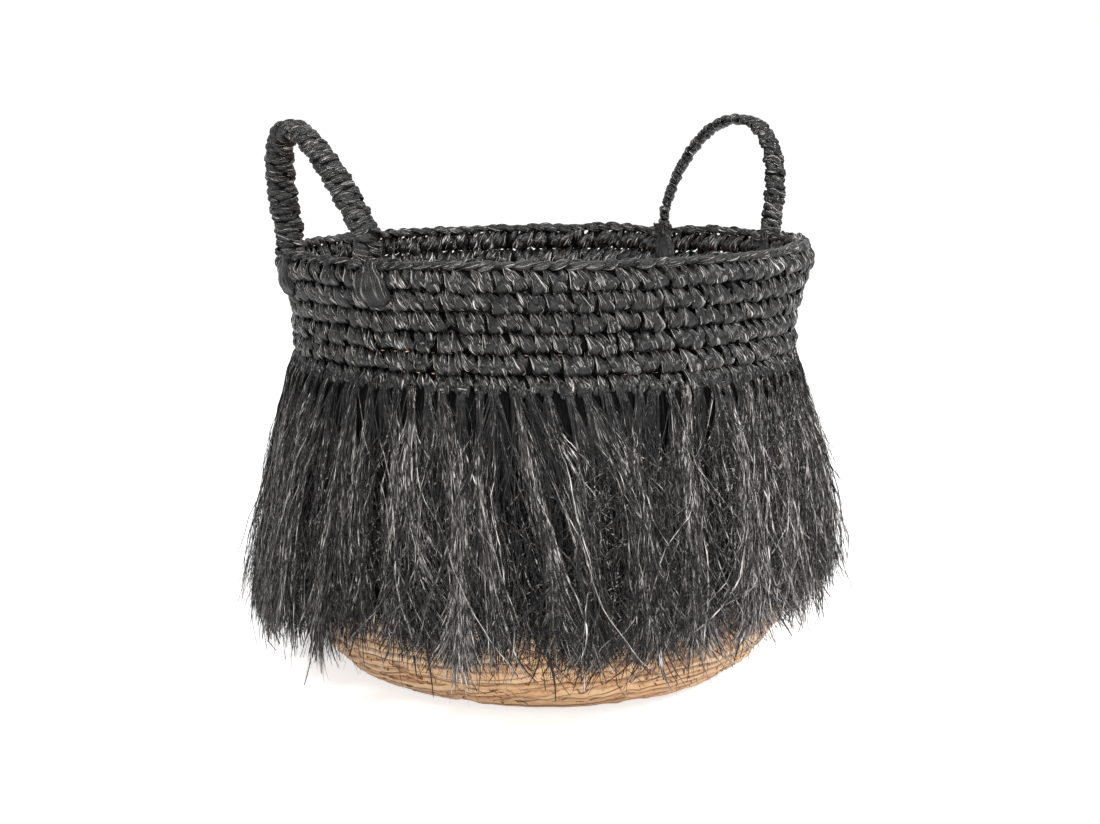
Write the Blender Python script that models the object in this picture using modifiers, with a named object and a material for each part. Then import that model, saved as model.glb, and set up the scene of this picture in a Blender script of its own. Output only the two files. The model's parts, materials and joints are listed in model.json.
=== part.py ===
"""Fringed belly basket: a coiled bark bowl, a crocheted neck, a knotted fringe and two whipped handles.

Metres, +Z up. The origin is the centre of the floor's underside, and the handles stand towards +X and -X.
"""

import math
import random

import bmesh
import bpy
from mathutils import Matrix, Vector

# Gap kept between pieces that touch on the real basket
SEAT_GAP = 0.0003
# Gap between neighbouring turns of the coil, which the bark stitching closes
TURN_GAP = 0.0006

# Bowl: one rope of bark, coiled from the middle of the floor to the foot of the neck
FLOOR_RADIUS = 0.112
# How far the belly stands out beyond the neck
BELLY_SWELL = 0.0135
BELLY_HEIGHT = 0.125
BOWL_HEIGHT = 0.219
ROPE_THICKNESS = 0.014
ROPE_PITCH = 0.0175
ROPE_START_RADIUS = 0.0008
POINTS_PER_TURN = 20
END_SHARE = 0.15

# Neck: rounds of crochet that open out towards the rim
NECK_RADIUS = 0.1765
NECK_FLARE = 0.0135
NECK_THICKNESS = 0.009
NECK_ROUNDS = 6
ROUND_RELIEF = 0.0016
FLARE_START = 0.255
FLARE_END = 0.292
NECK_STEPS = 40

# Rim: a chain-stitched braid on the last round
RIM_HEIGHT = 0.307
BRAID_WIDTH = 0.0105
BRAID_HEIGHT = 0.0095
BRAID_LINKS = 48
LINK_WAIST = 0.84

# Fringe: tufts of raffia knotted under the neck, each split into locks
TUFTS = 100
LOCKS_PER_TUFT = 3
TUFTS_PER_BUNCH = 4
HEADING_THICKNESS = 0.0055
HEADING_HEIGHT = 0.011
# How far the hem hangs out from the belly, to the middle of the locks
FRINGE_STANDOFF = 0.0245
FRINGE_HEM = 0.056
HEM_RAGGEDNESS = 0.010
LOCK_BEND = 0.70
LOCK_TAPER = 0.90
LAYER_SPREAD = 0.0018
LOCK_SWAY = 0.30

# Handles: a whipped rope arch on each side, hinged where its knotted ends sit in the lashings
HANDLE_BACKSET = math.radians(2.7)
HANDLE_LEAN = math.radians(18.0)
FOOT_ANGLE = {"right": math.radians(18.1), "left": math.radians(16.4)}
HANDLE_RISE = {"right": 0.0754, "left": 0.0709}
CROWN_SQUARENESS = {"right": 0.90, "left": 1.00}
CROWN_POINTEDNESS = {"right": 1.10, "left": 1.65}
CROWN_SKEW = {"right": 0.0, "left": -0.12}
GRIP_THICKNESS = 0.012
GRIP_WIDTH = 0.017
CORE_RADIUS = 0.0034
KNOT_RADIUS = 0.0085
WHIPPING_TURNS = 38
WHIPPING_RELIEF = 0.0010
WHIPPING_CLEARANCE = 0.0004
CORE_POINTS = 18
KNOT_POINTS = 6

# Lashings: the raffia that ties each knotted end over the rim
LASHING_THICKNESS = 0.003
LASHING_WIDTH = 0.013
LASHING_FLARE = 1.45
LASHING_DROP = 0.030
LASHING_LEG_STEPS = 4
LASHING_TOP_STEPS = 10
LASHING_COLUMNS = 2
CUP_ANGLE = math.radians(50.0)
CUP_WALL = 0.0018
KNOT_CLEARANCE = 0.0005

BELLY_RADIUS = NECK_RADIUS + BELLY_SWELL
RIM_RADIUS = NECK_RADIUS + NECK_FLARE
HANDLE_SIDES = {"right": 1.0, "left": -1.0}


def clear_scene():
    for obj in list(bpy.data.objects):
        bpy.data.objects.remove(obj, do_unlink=True)


def new_collection(name):
    made = bpy.data.collections.new(name)
    bpy.context.scene.collection.children.link(made)
    return made


def new_material(name, colour, roughness):
    made = bpy.data.materials.new(name)
    made.use_nodes = True
    shader = made.node_tree.nodes["Principled BSDF"]
    shader.inputs["Base Color"].default_value = (*colour, 1.0)
    shader.inputs["Roughness"].default_value = roughness
    shader.inputs["Metallic"].default_value = 0.0
    return made


def new_object(name, data, collection, surface=None):
    made = bpy.data.objects.new(name, data)
    collection.objects.link(made)
    if surface is not None:
        data.materials.append(surface)
    return made


def mark_helper(obj):
    obj.hide_render = True
    obj.display_type = "WIRE"
    return obj


def curve_object(name, points, radii, depth, resolution, collection, surface=None, closed=False):
    """A tube along points, in the object's own frame, whose radius at each point is its share of depth."""
    data = bpy.data.curves.new(name, "CURVE")
    data.dimensions = "3D"
    data.bevel_depth = depth
    data.bevel_resolution = resolution
    data.use_fill_caps = True
    spline = data.splines.new("POLY")
    spline.points.add(len(points) - 1)
    spline.use_cyclic_u = closed
    for point, place, radius in zip(spline.points, points, radii):
        point.co = (*place, 1.0)
        point.radius = radius
    return new_object(name, data, collection, surface)


def as_mesh(curve, collection):
    """The curve's tube as a mesh object with its caps welded on. The curve is removed."""
    bpy.context.view_layer.update()
    graph = bpy.context.evaluated_depsgraph_get()
    mesh = bpy.data.meshes.new_from_object(curve.evaluated_get(graph))
    shape = bmesh.new()
    shape.from_mesh(mesh)
    bmesh.ops.remove_doubles(shape, verts=shape.verts, dist=1e-6)
    bmesh.ops.recalc_face_normals(shape, faces=shape.faces)
    shape.to_mesh(mesh)
    shape.free()
    name, place, parent = curve.name, curve.matrix_world.copy(), curve.parent
    bpy.data.objects.remove(curve, do_unlink=True)
    made = new_object(name, mesh, collection)
    made.parent = parent
    made.matrix_world = place
    return made


def boolean(obj, operation, other):
    modifier = obj.modifiers.new(operation.lower(), "BOOLEAN")
    modifier.operation = operation
    modifier.solver = "EXACT"
    modifier.object = other
    return modifier


def at_angle(radius, angle, height):
    return Vector((radius * math.cos(angle), radius * math.sin(angle), height))


def ease(share):
    share = min(max(share, 0.0), 1.0)
    return share * share * (3.0 - 2.0 * share)


# Bowl

def rope_outline(steps=60):
    """Radius and height of the rope's middle, from the centre of the floor to the foot of the neck."""
    half = ROPE_THICKNESS / 2
    points = [(0.0, half), (FLOOR_RADIUS, half)]
    for step in range(1, steps + 1):
        turn = math.pi / 2 * step / steps
        radius = FLOOR_RADIUS + (BELLY_RADIUS - half - FLOOR_RADIUS) * math.sin(turn)
        points.append((radius, half + (BELLY_HEIGHT - half) * (1.0 - math.cos(turn))))
    for step in range(1, steps + 1):
        share = step / steps
        draw_in = (BELLY_RADIUS - NECK_RADIUS) * (1.0 - math.cos(math.pi * share)) / 2
        height = BELLY_HEIGHT + (BOWL_HEIGHT - BELLY_HEIGHT) * share
        points.append((BELLY_RADIUS - half - draw_in, height))
    return points


def run_along(outline):
    """The distance along the outline at each of its points."""
    runs = [0.0]
    for (r0, z0), (r1, z1) in zip(outline, outline[1:]):
        runs.append(runs[-1] + math.hypot(r1 - r0, z1 - z0))
    return runs


def on_outline(outline, runs, run):
    """Radius, height and slope of the outline at a distance along it."""
    for index in range(1, len(runs)):
        if run <= runs[index] or index == len(runs) - 1:
            (r0, z0), (r1, z1) = outline[index - 1], outline[index]
            share = (run - runs[index - 1]) / (runs[index] - runs[index - 1])
            slope = math.atan2(z1 - z0, r1 - r0)
            return r0 + (r1 - r0) * share, z0 + (z1 - z0) * share, slope


def rope_section(collection, width):
    """The flattened rope's outline, with a flat side under it, for the coil's bevel."""
    half_width, half_height = width / 2, ROPE_THICKNESS / 2
    data = bpy.data.curves.new("rope_section", "CURVE")
    data.dimensions = "2D"
    spline = data.splines.new("POLY")
    corners = (
        (half_width, 0.0),
        (half_width / 2, half_height),
        (-half_width / 2, half_height),
        (-half_width, 0.0),
        (-half_width / 2, -half_height),
        (half_width / 2, -half_height),
    )
    spline.points.add(len(corners) - 1)
    spline.use_cyclic_u = True
    for point, (across, up) in zip(spline.points, reversed(corners)):
        point.co = (across, up, 0.0, 1.0)
    return mark_helper(new_object("rope_section", data, collection))


def coil_points(start_run, end_run, pitch, outline, runs):
    """Points, radii and tilts of a rope coiled between two distances along the outline.

    Each turn lies against the one before. The rope thins towards its ends, flush with the bowl's
    outside, so that both edges of the coil are round and level.
    """
    first_turn = start_run / pitch - 0.5 + END_SHARE if start_run > 0.0 else 0.0
    last_turn = end_run / pitch + 0.5 - END_SHARE
    points, radii, tilts = [], [], []
    for step in range(round((last_turn - first_turn) * POINTS_PER_TURN) + 1):
        turn = first_turn + step / POINTS_PER_TURN
        inner = max(pitch * (turn - 0.5), start_run, ROPE_START_RADIUS)
        outer = min(pitch * (turn + 0.5), end_run)
        radius, height, slope = on_outline(outline, runs, (inner + outer) / 2)
        fullness = (outer - inner - TURN_GAP) / (pitch - TURN_GAP)
        slack = (1.0 - fullness) * ROPE_THICKNESS / 2
        radius += slack * math.sin(slope)
        height -= slack * math.cos(slope)
        points.append(at_angle(radius, 2 * math.pi * turn, height))
        radii.append(fullness)
        tilts.append(slope)
    return points, radii, tilts


def least_turn_gap(points, radii, width):
    """The least distance between the rope and its next turn, measured on the coil's points."""
    gaps = []
    for index in range(len(points) - POINTS_PER_TURN):
        other = index + POINTS_PER_TURN
        halves = (radii[index] + radii[other]) * width / 2
        gaps.append((points[other] - points[index]).length - halves)
    return min(gaps)


def make_bowl(parts, helpers, bark):
    outline = rope_outline()
    runs = run_along(outline)
    pitch = runs[-1] / round(runs[-1] / ROPE_PITCH)
    width = pitch - TURN_GAP
    section = rope_section(helpers, width)
    floor_edge = pitch * round(FLOOR_RADIUS / pitch)
    for name, start_run, end_run in (("floor_coil", 0.0, floor_edge), ("wall_coil", floor_edge, runs[-1])):
        points, radii, tilts = coil_points(start_run, end_run, pitch, outline, runs)
        coil = curve_object(name, points, radii, 0.0, 0, parts, bark)
        coil.data.bevel_mode = "OBJECT"
        coil.data.bevel_object = section
        coil.data.twist_mode = "Z_UP"
        for point, tilt in zip(coil.data.splines[0].points, tilts):
            point.tilt = tilt
        print(name, "least gap between turns, mm:", round(1000 * least_turn_gap(points, radii, width), 2))


# Neck and rim

def neck_outer(height):
    """The neck's outer radius between the ridges of its rounds."""
    flare = ease((height - FLARE_START) / (FLARE_END - FLARE_START))
    return NECK_RADIUS + NECK_FLARE * flare - ROUND_RELIEF


def turned(name, profile, steps, collection, surface):
    """A ring turned round Z from a closed profile of (radius, height)."""
    mesh = bpy.data.meshes.new(name)
    shape = bmesh.new()
    corners = [shape.verts.new((radius, 0.0, height)) for radius, height in profile]
    for first, second in zip(corners, corners[1:] + corners[:1]):
        shape.edges.new((first, second))
    shape.to_mesh(mesh)
    shape.free()
    ring = new_object(name, mesh, collection, surface)
    screw = ring.modifiers.new("turn", "SCREW")
    screw.steps = steps
    screw.render_steps = steps
    screw.use_merge_vertices = True
    screw.merge_threshold = 1e-6
    screw.use_normal_calculate = True
    return ring


def make_neck(parts, raffia):
    bottom = BOWL_HEIGHT + SEAT_GAP
    top = RIM_HEIGHT - BRAID_HEIGHT - SEAT_GAP
    rise = (top - bottom) / NECK_ROUNDS
    outside, inside = [], []
    for number in range(NECK_ROUNDS):
        foot = bottom + number * rise
        outside.append((neck_outer(foot), foot))
        for share in (0.28, 0.72):
            height = foot + rise * share
            outside.append((neck_outer(height) + ROUND_RELIEF, height))
        inside.append((neck_outer(foot) - NECK_THICKNESS + 2 * ROUND_RELIEF, foot))
        middle = foot + rise / 2
        inside.append((neck_outer(middle) - NECK_THICKNESS + ROUND_RELIEF, middle))
    outside.append((neck_outer(top), top))
    inside.append((neck_outer(top) - NECK_THICKNESS + 2 * ROUND_RELIEF, top))
    return turned("crochet_neck", outside[::-1] + inside, NECK_STEPS, parts, raffia)


def braid_radius():
    """The middle of the rim's braid, over the middle of the neck's last round."""
    return RIM_RADIUS - BRAID_WIDTH / 2


def make_braid(parts, raffia):
    points, radii = [], []
    for step in range(2 * BRAID_LINKS):
        points.append(at_angle(braid_radius(), math.pi * step / BRAID_LINKS, 0.0))
        radii.append(1.0 if step % 2 else LINK_WAIST)
    braid = curve_object("rim_braid", points, radii, BRAID_WIDTH / 2, 1, parts, raffia, closed=True)
    braid.data.twist_mode = "Z_UP"
    braid.location.z = RIM_HEIGHT - BRAID_HEIGHT / 2
    braid.scale.z = BRAID_HEIGHT / BRAID_WIDTH
    return braid


# Fringe

def fringe_flare(drop):
    """How far out from the heading the locks hang, from a drop of 0 at the heading to 1 at the hem."""
    start = NECK_RADIUS + SEAT_GAP + HEADING_THICKNESS / 2
    hem = BELLY_RADIUS + FRINGE_STANDOFF
    return (hem - start) * math.sin(math.pi / 2 * min(drop, 1.0))


def heading_strip(shape, first_lock, locks):
    """A zigzag of triangles under the heading, one for each lock. Outer and inner ones take turns."""
    inner = NECK_RADIUS + SEAT_GAP
    outer = inner + HEADING_THICKNESS
    height = BOWL_HEIGHT + SEAT_GAP
    step = 4 * math.pi / (TUFTS * LOCKS_PER_TUFT)
    start = step * first_lock / 2
    pairs = locks // 2
    seam = TURN_GAP / 2 / inner
    outers, inners = [], []
    for pair in range(pairs + 1):
        trim = seam * (1 - 2 * pair / pairs)
        outers.append(shape.verts.new(at_angle(outer, start + pair * step + trim, height)))
        inners.append(shape.verts.new(at_angle(inner, start + (pair + 0.5) * step + trim, height)))
    faces = []
    for pair in range(pairs):
        faces.append(shape.faces.new((inners[pair], outers[pair + 1], outers[pair])))
        faces.append(shape.faces.new((inners[pair], inners[pair + 1], outers[pair + 1])))
    return faces


def grow_lock(shape, face, layer, dice):
    """Draws one triangle under the heading down into a tapering lock that ends in a point."""
    root = face.calc_center_median()
    corners = [vert.co - root for vert in face.verts]
    angle = math.atan2(root.y, root.x)
    start = math.hypot(root.x, root.y)
    sway = dice.uniform(-1.0, 1.0) * LOCK_SWAY * 2 * math.pi / (TUFTS * LOCKS_PER_TUFT)
    length = root.z - FRINGE_HEM
    tip_drop = 1.0 - dice.uniform(-0.5, 1.0) * HEM_RAGGEDNESS / length
    for drop, size in ((LOCK_BEND, LOCK_TAPER), (tip_drop, 0.0)):
        radius = start + fringe_flare(drop) + layer * LAYER_SPREAD * drop
        middle = at_angle(radius, angle + sway * drop, root.z - length * drop)
        face = bmesh.ops.extrude_discrete_faces(shape, faces=[face])["faces"][0]
        verts = list(face.verts)
        for vert, corner in zip(verts, corners):
            vert.co = middle + corner * size
        if size == 0.0:
            bmesh.ops.pointmerge(shape, verts=verts, merge_co=middle)


def make_fringe(parts, raffia):
    dice = random.Random(11)
    locks = LOCKS_PER_TUFT * TUFTS_PER_BUNCH
    for bunch in range(TUFTS // TUFTS_PER_BUNCH):
        shape = bmesh.new()
        faces = heading_strip(shape, bunch * locks, locks)
        upper = bmesh.ops.extrude_face_region(shape, geom=faces, use_keep_orig=True)
        raised = [item for item in upper["geom"] if isinstance(item, bmesh.types.BMVert)]
        bmesh.ops.translate(shape, verts=raised, vec=(0.0, 0.0, HEADING_HEIGHT))
        for number, face in enumerate(faces):
            grow_lock(shape, face, 1 - 2 * (number % 2), dice)
        bmesh.ops.recalc_face_normals(shape, faces=shape.faces)
        name = f"fringe_bunch_{bunch + 1:02d}"
        mesh = bpy.data.meshes.new(name)
        shape.to_mesh(mesh)
        shape.free()
        new_object(name, mesh, parts, raffia)


# Handles and lashings

def foot_height():
    """The hinge axis, at the centre of the knots that sit in the lashings."""
    return RIM_HEIGHT + SEAT_GAP + LASHING_THICKNESS + KNOT_CLEARANCE + KNOT_RADIUS


def handle_azimuth(side):
    return HANDLE_BACKSET if side == "right" else math.pi - HANDLE_BACKSET


def handle_frame(side):
    """The arch's own frame: X along the rim from foot to foot, Y through the arch and Z up it."""
    azimuth = handle_azimuth(side)
    outward = at_angle(1.0, azimuth, 0.0)
    along = at_angle(1.0, azimuth + math.pi / 2, 0.0)
    up = Vector((0.0, 0.0, 1.0)) * math.cos(HANDLE_LEAN) + outward * math.sin(HANDLE_LEAN)
    middle = outward * braid_radius() * math.cos(FOOT_ANGLE[side]) + Vector((0.0, 0.0, foot_height()))
    frame = Matrix.Identity(4)
    for column, axis in enumerate((along, up.cross(along), up)):
        for row in range(3):
            frame[row][column] = axis[row]
        frame[column][3] = middle[column]
    return frame


def arch_point(side, share):
    """A point of the arch, in its own frame, from one foot at share 0 to the other at 1."""
    reach = braid_radius() * math.sin(FOOT_ANGLE[side])
    across = -math.cos(math.pi * share)
    climb = max(math.sin(math.pi * share), 0.0) ** CROWN_POINTEDNESS[side]
    along = math.copysign(abs(across) ** CROWN_SQUARENESS[side], across) + CROWN_SKEW[side] * climb
    return Vector((reach * along, 0.0, HANDLE_RISE[side] * climb))


def arch_run(side, count, start, end):
    """Evenly spaced points along the arch, between two distances from its first foot."""
    fine = [arch_point(side, step / 400) for step in range(401)]
    runs = [0.0]
    for first, second in zip(fine, fine[1:]):
        runs.append(runs[-1] + (second - first).length)
    end = runs[-1] - end
    points, index = [], 1
    for step in range(count):
        run = start + (end - start) * step / (count - 1)
        while runs[index] < run and index < len(runs) - 1:
            index += 1
        share = (run - runs[index - 1]) / (runs[index] - runs[index - 1])
        points.append(fine[index - 1].lerp(fine[index], share))
    return points


def make_core(side, pivot, parts, rope):
    """The rope inside the handle, with a round knot on the hinge axis at each end."""
    first, last = arch_point(side, 0.0), arch_point(side, 1.0)
    clear = KNOT_RADIUS
    middle = arch_run(side, CORE_POINTS, clear, clear)
    start_leg = (middle[0] - first).normalized()
    end_leg = (middle[-1] - last).normalized()
    points, radii = [], []
    for step in range(KNOT_POINTS):
        turn = math.pi * (step + 0.35) / (KNOT_POINTS + 0.2)
        points.append(first - start_leg * KNOT_RADIUS * math.cos(turn))
        radii.append(max(math.sin(turn) * KNOT_RADIUS / CORE_RADIUS, 0.3))
    points += middle
    radii += [1.0] * len(middle)
    for step in reversed(range(KNOT_POINTS)):
        turn = math.pi * (step + 0.35) / (KNOT_POINTS + 0.2)
        points.append(last - end_leg * KNOT_RADIUS * math.cos(turn))
        radii.append(max(math.sin(turn) * KNOT_RADIUS / CORE_RADIUS, 0.3))
    core = curve_object(f"handle_{side}_core", points, radii, CORE_RADIUS, 2, parts, rope)
    core.parent = pivot
    return core


def make_whipping(side, pivot, parts, helpers, raffia):
    """The raffia wound round the core: one ridge for each turn, over a bore that the core passes through."""
    start = KNOT_RADIUS + SEAT_GAP
    points = arch_run(side, 2 * WHIPPING_TURNS + 1, start, start)
    shallow = 1.0 - 2 * WHIPPING_RELIEF / GRIP_THICKNESS
    radii = [shallow if step % 2 == 0 else 1.0 for step in range(len(points))]
    name = f"handle_{side}_whipping"
    tube = curve_object(name, points, radii, GRIP_THICKNESS / 2, 2, parts)
    tube.parent = pivot
    tube.scale.y = GRIP_WIDTH / GRIP_THICKNESS
    whipping = as_mesh(tube, parts)
    whipping.data.materials.append(raffia)
    bore_points = arch_run(side, CORE_POINTS, KNOT_RADIUS / 2, KNOT_RADIUS / 2)
    bore = curve_object(
        f"bore_{side}", bore_points, [1.0] * CORE_POINTS, CORE_RADIUS + WHIPPING_CLEARANCE, 2, helpers
    )
    bore.parent = pivot
    boolean(whipping, "DIFFERENCE", mark_helper(as_mesh(bore, helpers)))
    return whipping


def neck_inner(height):
    """The neck's inner radius, over the ridges of its rounds and at the middle of its flat facets."""
    ridge = neck_outer(height) - NECK_THICKNESS + ROUND_RELIEF
    return ridge * math.cos(math.pi / NECK_STEPS)


def lashing_line():
    """The middle of the lashing's thickness, as points of distance out from the braid and height.

    It climbs the inside of the neck, arches over the braid and drops straight down the outside.
    """
    spacing = SEAT_GAP + LASHING_THICKNESS / 2
    across = BRAID_WIDTH / 2 + spacing
    over = BRAID_HEIGHT / 2 + spacing
    middle = RIM_HEIGHT - BRAID_HEIGHT / 2
    hem = RIM_HEIGHT - LASHING_DROP
    points = []
    for step in range(LASHING_LEG_STEPS):
        height = hem + (middle - hem) * step / LASHING_LEG_STEPS
        points.append((min(neck_inner(height) - spacing - braid_radius(), -across), height))
    for step in range(LASHING_TOP_STEPS + 1):
        turn = math.pi * step / LASHING_TOP_STEPS
        points.append((-across * math.cos(turn), middle + over * math.sin(turn)))
    points.append((across, hem))
    return points


def make_lashing(name, azimuth, parts, helpers, raffia):
    """A strap of raffia over the rim, with a shallow cup on top that the handle's knot rocks in."""
    line = lashing_line()
    shape = bmesh.new()
    bmesh.ops.create_grid(shape, x_segments=len(line) - 1, y_segments=LASHING_COLUMNS, size=1.0)
    for vert in shape.verts:
        out, height = line[round((vert.co.x + 1) / 2 * (len(line) - 1))]
        spread = 1.0 + (LASHING_FLARE - 1.0) * (RIM_HEIGHT - height) / LASHING_DROP
        angle = vert.co.y * spread * LASHING_WIDTH / 2 / braid_radius()
        vert.co = at_angle(braid_radius() + out, angle, height)
    bmesh.ops.recalc_face_normals(shape, faces=shape.faces)
    mesh = bpy.data.meshes.new(name)
    shape.to_mesh(mesh)
    shape.free()
    strap = new_object(name, mesh, parts, raffia)
    strap.rotation_euler.z = azimuth
    solidify = strap.modifiers.new("thickness", "SOLIDIFY")
    solidify.thickness = LASHING_THICKNESS
    solidify.offset = 0.0
    solidify.use_even_offset = True

    knot_centre = Vector((braid_radius(), 0.0, foot_height()))
    hollow = KNOT_RADIUS + KNOT_CLEARANCE
    cup_top = -hollow * math.cos(CUP_ANGLE)
    cup_bottom = -hollow - LASHING_THICKNESS / 2
    bpy.ops.mesh.primitive_cone_add(
        vertices=20,
        radius1=LASHING_WIDTH / 2 - 0.0004,
        radius2=hollow * math.sin(CUP_ANGLE) + CUP_WALL,
        depth=cup_top - cup_bottom,
    )
    cup = bpy.context.active_object
    cup.name = f"cup_{name}"
    bpy.ops.mesh.primitive_uv_sphere_add(segments=20, ring_count=12, radius=hollow)
    socket = bpy.context.active_object
    socket.name = f"socket_{name}"
    turn = Matrix.Rotation(azimuth, 4, "Z")
    cup.matrix_world = turn @ Matrix.Translation(knot_centre + Vector((0.0, 0.0, (cup_top + cup_bottom) / 2)))
    socket.matrix_world = turn @ Matrix.Translation(knot_centre)
    for helper in (cup, socket):
        for owner in list(helper.users_collection):
            owner.objects.unlink(helper)
        helpers.objects.link(mark_helper(helper))
    boolean(strap, "UNION", cup)
    boolean(strap, "DIFFERENCE", socket)
    return strap


def make_handle(side, parts, helpers, raffia, rope):
    pivot = bpy.data.objects.new(f"handle_{side}_pivot", None)
    parts.objects.link(pivot)
    pivot.matrix_world = handle_frame(side)
    bpy.context.view_layer.update()
    make_core(side, pivot, parts, rope)
    make_whipping(side, pivot, parts, helpers, raffia)
    for end, turn in (("front", -FOOT_ANGLE[side]), ("rear", FOOT_ANGLE[side])):
        azimuth = handle_azimuth(side) + HANDLE_SIDES[side] * turn
        make_lashing(f"lashing_{side}_{end}", azimuth, parts, helpers, raffia)


def main():
    clear_scene()
    parts = new_collection("fringed_basket")
    helpers = new_collection("cutters_and_guides")
    bark = new_material("natural_bark", (0.53, 0.36, 0.19), 0.62)
    raffia = new_material("black_raffia", (0.028, 0.027, 0.027), 0.42)
    rope = new_material("core_rope", (0.22, 0.17, 0.11), 0.80)
    make_bowl(parts, helpers, bark)
    make_neck(parts, raffia)
    make_braid(parts, raffia)
    make_fringe(parts, raffia)
    for side in HANDLE_SIDES:
        make_handle(side, parts, helpers, raffia, rope)


main()
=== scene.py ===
"""Looks for the fringed basket: a coiled bark bowl, a crochet neck, a raffia fringe and two whipped handles.

Nearly every piece is made of strands, each swept along a path of its own. Lengths are in metres. Angles round
the basket start at +X and turn towards +Y. A share runs from 0 at the start of a strand to 1 at its end.
"""

import json
import math
from typing import NamedTuple

import bpy
import numpy as np
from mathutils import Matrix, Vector


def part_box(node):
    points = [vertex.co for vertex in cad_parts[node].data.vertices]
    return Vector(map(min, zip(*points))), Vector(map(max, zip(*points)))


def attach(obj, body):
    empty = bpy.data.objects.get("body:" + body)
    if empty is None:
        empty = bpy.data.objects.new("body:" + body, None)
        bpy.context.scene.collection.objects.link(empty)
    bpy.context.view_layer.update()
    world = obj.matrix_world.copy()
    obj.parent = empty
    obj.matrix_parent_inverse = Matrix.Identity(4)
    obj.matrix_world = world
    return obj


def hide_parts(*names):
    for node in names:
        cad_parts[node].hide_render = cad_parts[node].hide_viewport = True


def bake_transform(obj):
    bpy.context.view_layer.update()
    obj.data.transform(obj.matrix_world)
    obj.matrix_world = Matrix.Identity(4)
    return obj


MM = 0.001
TURN = 2 * math.pi
UP = np.array([0.0, 0.0, 1.0])
SEEDS = {
    "bowl": 5, "rim": 8, "neck": 21, "fringe": 77,
    "handle_right": 31, "handle_left": 32, "lashing_right": 41, "lashing_left": 42,
}

# Texture maps: one cell for each strand, and a place of its own in the noise
CELL_MARGIN = 0.04
NOISE_STEP = 0.61803
NOISE_REACH = 37.0
FIBRE_RUN = 3.0

# Bowl: the CAD's outline, on a foot that is 3 mm broader
FLOOR_RADIUS = 115 * MM
BELLY_RADIUS = 190 * MM
BELLY_HEIGHT = 125 * MM
OUTLINE_STEPS = 120
ROPE_THICKNESS = 14 * MM
ROPE_PITCH = 17.5 * MM
ROPE_START_RADIUS = 0.8 * MM
ROPE_END_SHARE = 0.15
ROPE_STEPS = 150  # a turn
ROPE_SIDES = 36
ROPE_WAVES = (1.37, 4.3, 11.9, 23.3, 41.7)  # of its unevenness, a turn
LEAVES = 7  # strips of bark side by side round the rope
LEAF_LAY = 270 * MM  # in which they wind once round it
LEAF_RISE = 1.5 * MM
LEAF_BULGE = 0.5 * MM
CHIP_DEPTH = 2 * MM
CHIP_STEPS = 3
CHIP_START = 112 * MM
SEAM_OVERLAP = 1.4 * MM
GROOVE_DEPTH = 0.30
STITCH_SPACING = 9 * MM
PLUG_RADIUS = 6 * MM
PLUG_BOTTOM = 1.5 * MM
PLUG_HEIGHT = 11.5 * MM

# Neck
ROUNDS = 6
STITCHES = 104
STITCH_ANGLE = TURN / STITCHES
ROUND_SHIFT = 0.31  # from one round to the next, in stitches
NECK_RADIUS = 176.5 * MM
NECK_THICKNESS = 9 * MM
RIM_LIFT = 3.8 * MM
RIM_TILT = 2.6 * MM
HIGH_ANGLE = math.radians(330)
FOOT_DIP = 3.0 * MM
FOOT_DIP_REACH = math.radians(5)
FLARE_START = 255 * MM
FLARE_END = 292 * MM
HOLED_ROUNDS = 3  # from the top
HOLE_HEIGHT = (0.2 * MM, 5.0 * MM)
CHAIN_INSET = 5.2 * MM  # from the rim's edge to the middle of its chain
CHAIN_FIBRES = 8

# Fringe
TUFTS = 100
TUFTS_PER_BUNCH = 4
TUFT_ANGLE = TURN / TUFTS
LOCKS_PER_TUFT = 3
HAIRS_PER_TUFT = 62
RIBBONS_PER_TUFT = 120
WHISKERS_PER_TUFT = 20
BACKING_PER_TUFT = 14
SPRAY_SHARE = 0.4
HAIR_STATIONS = 18
RIBBON_STATIONS = 26
BENDS = 11
LOOSE = (0.10, 0.12)  # share of the strands in a calm tuft, and how much ruffling adds to it
STRAY = (0.05, 0.04)
FLYAWAY = (0.055, 0.03)
CLUMPS = ((58, 1.05, 0.36), (25, 1.00, 0.42))  # number round the basket, how far drawn aside, how proud
KNOT_HEIGHT = 5.5 * MM  # of the place that strands leave their knot at, above the neck's foot
FRINGE_OUTSIDE = (  # height and radius
    (229 * MM, 181.5 * MM), (192 * MM, 190.5 * MM), (155 * MM, 197 * MM),
    (118 * MM, 202 * MM), (81 * MM, 206 * MM), (50 * MM, 209 * MM),
)
FRINGE_DEPTH = 13 * MM
FRINGE_REACH = 232 * MM
LOWEST_TIP = 16 * MM
HEM_HEIGHT = 58.5 * MM
HEM_RISE = 9 * MM
HEM_RAGGEDNESS = 8 * MM
HEM_REACH = math.radians(32)
HIGH_HEM = 21 * MM
HIGH_HEM_ANGLE = math.radians(318)
LOW_HEM = 9 * MM
LOW_HEM_ANGLE = math.radians(172)
FRONT_ANGLE = math.radians(231.4)
BUSHY_ANGLE = math.radians(284)
BUSHY_REACH = math.radians(34)
SWEEP = 2.6  # how far the fringe leans to one side there, in tufts
SWEEP_ANGLE = math.radians(226)
SWEEP_REACH = math.radians(30)

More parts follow.
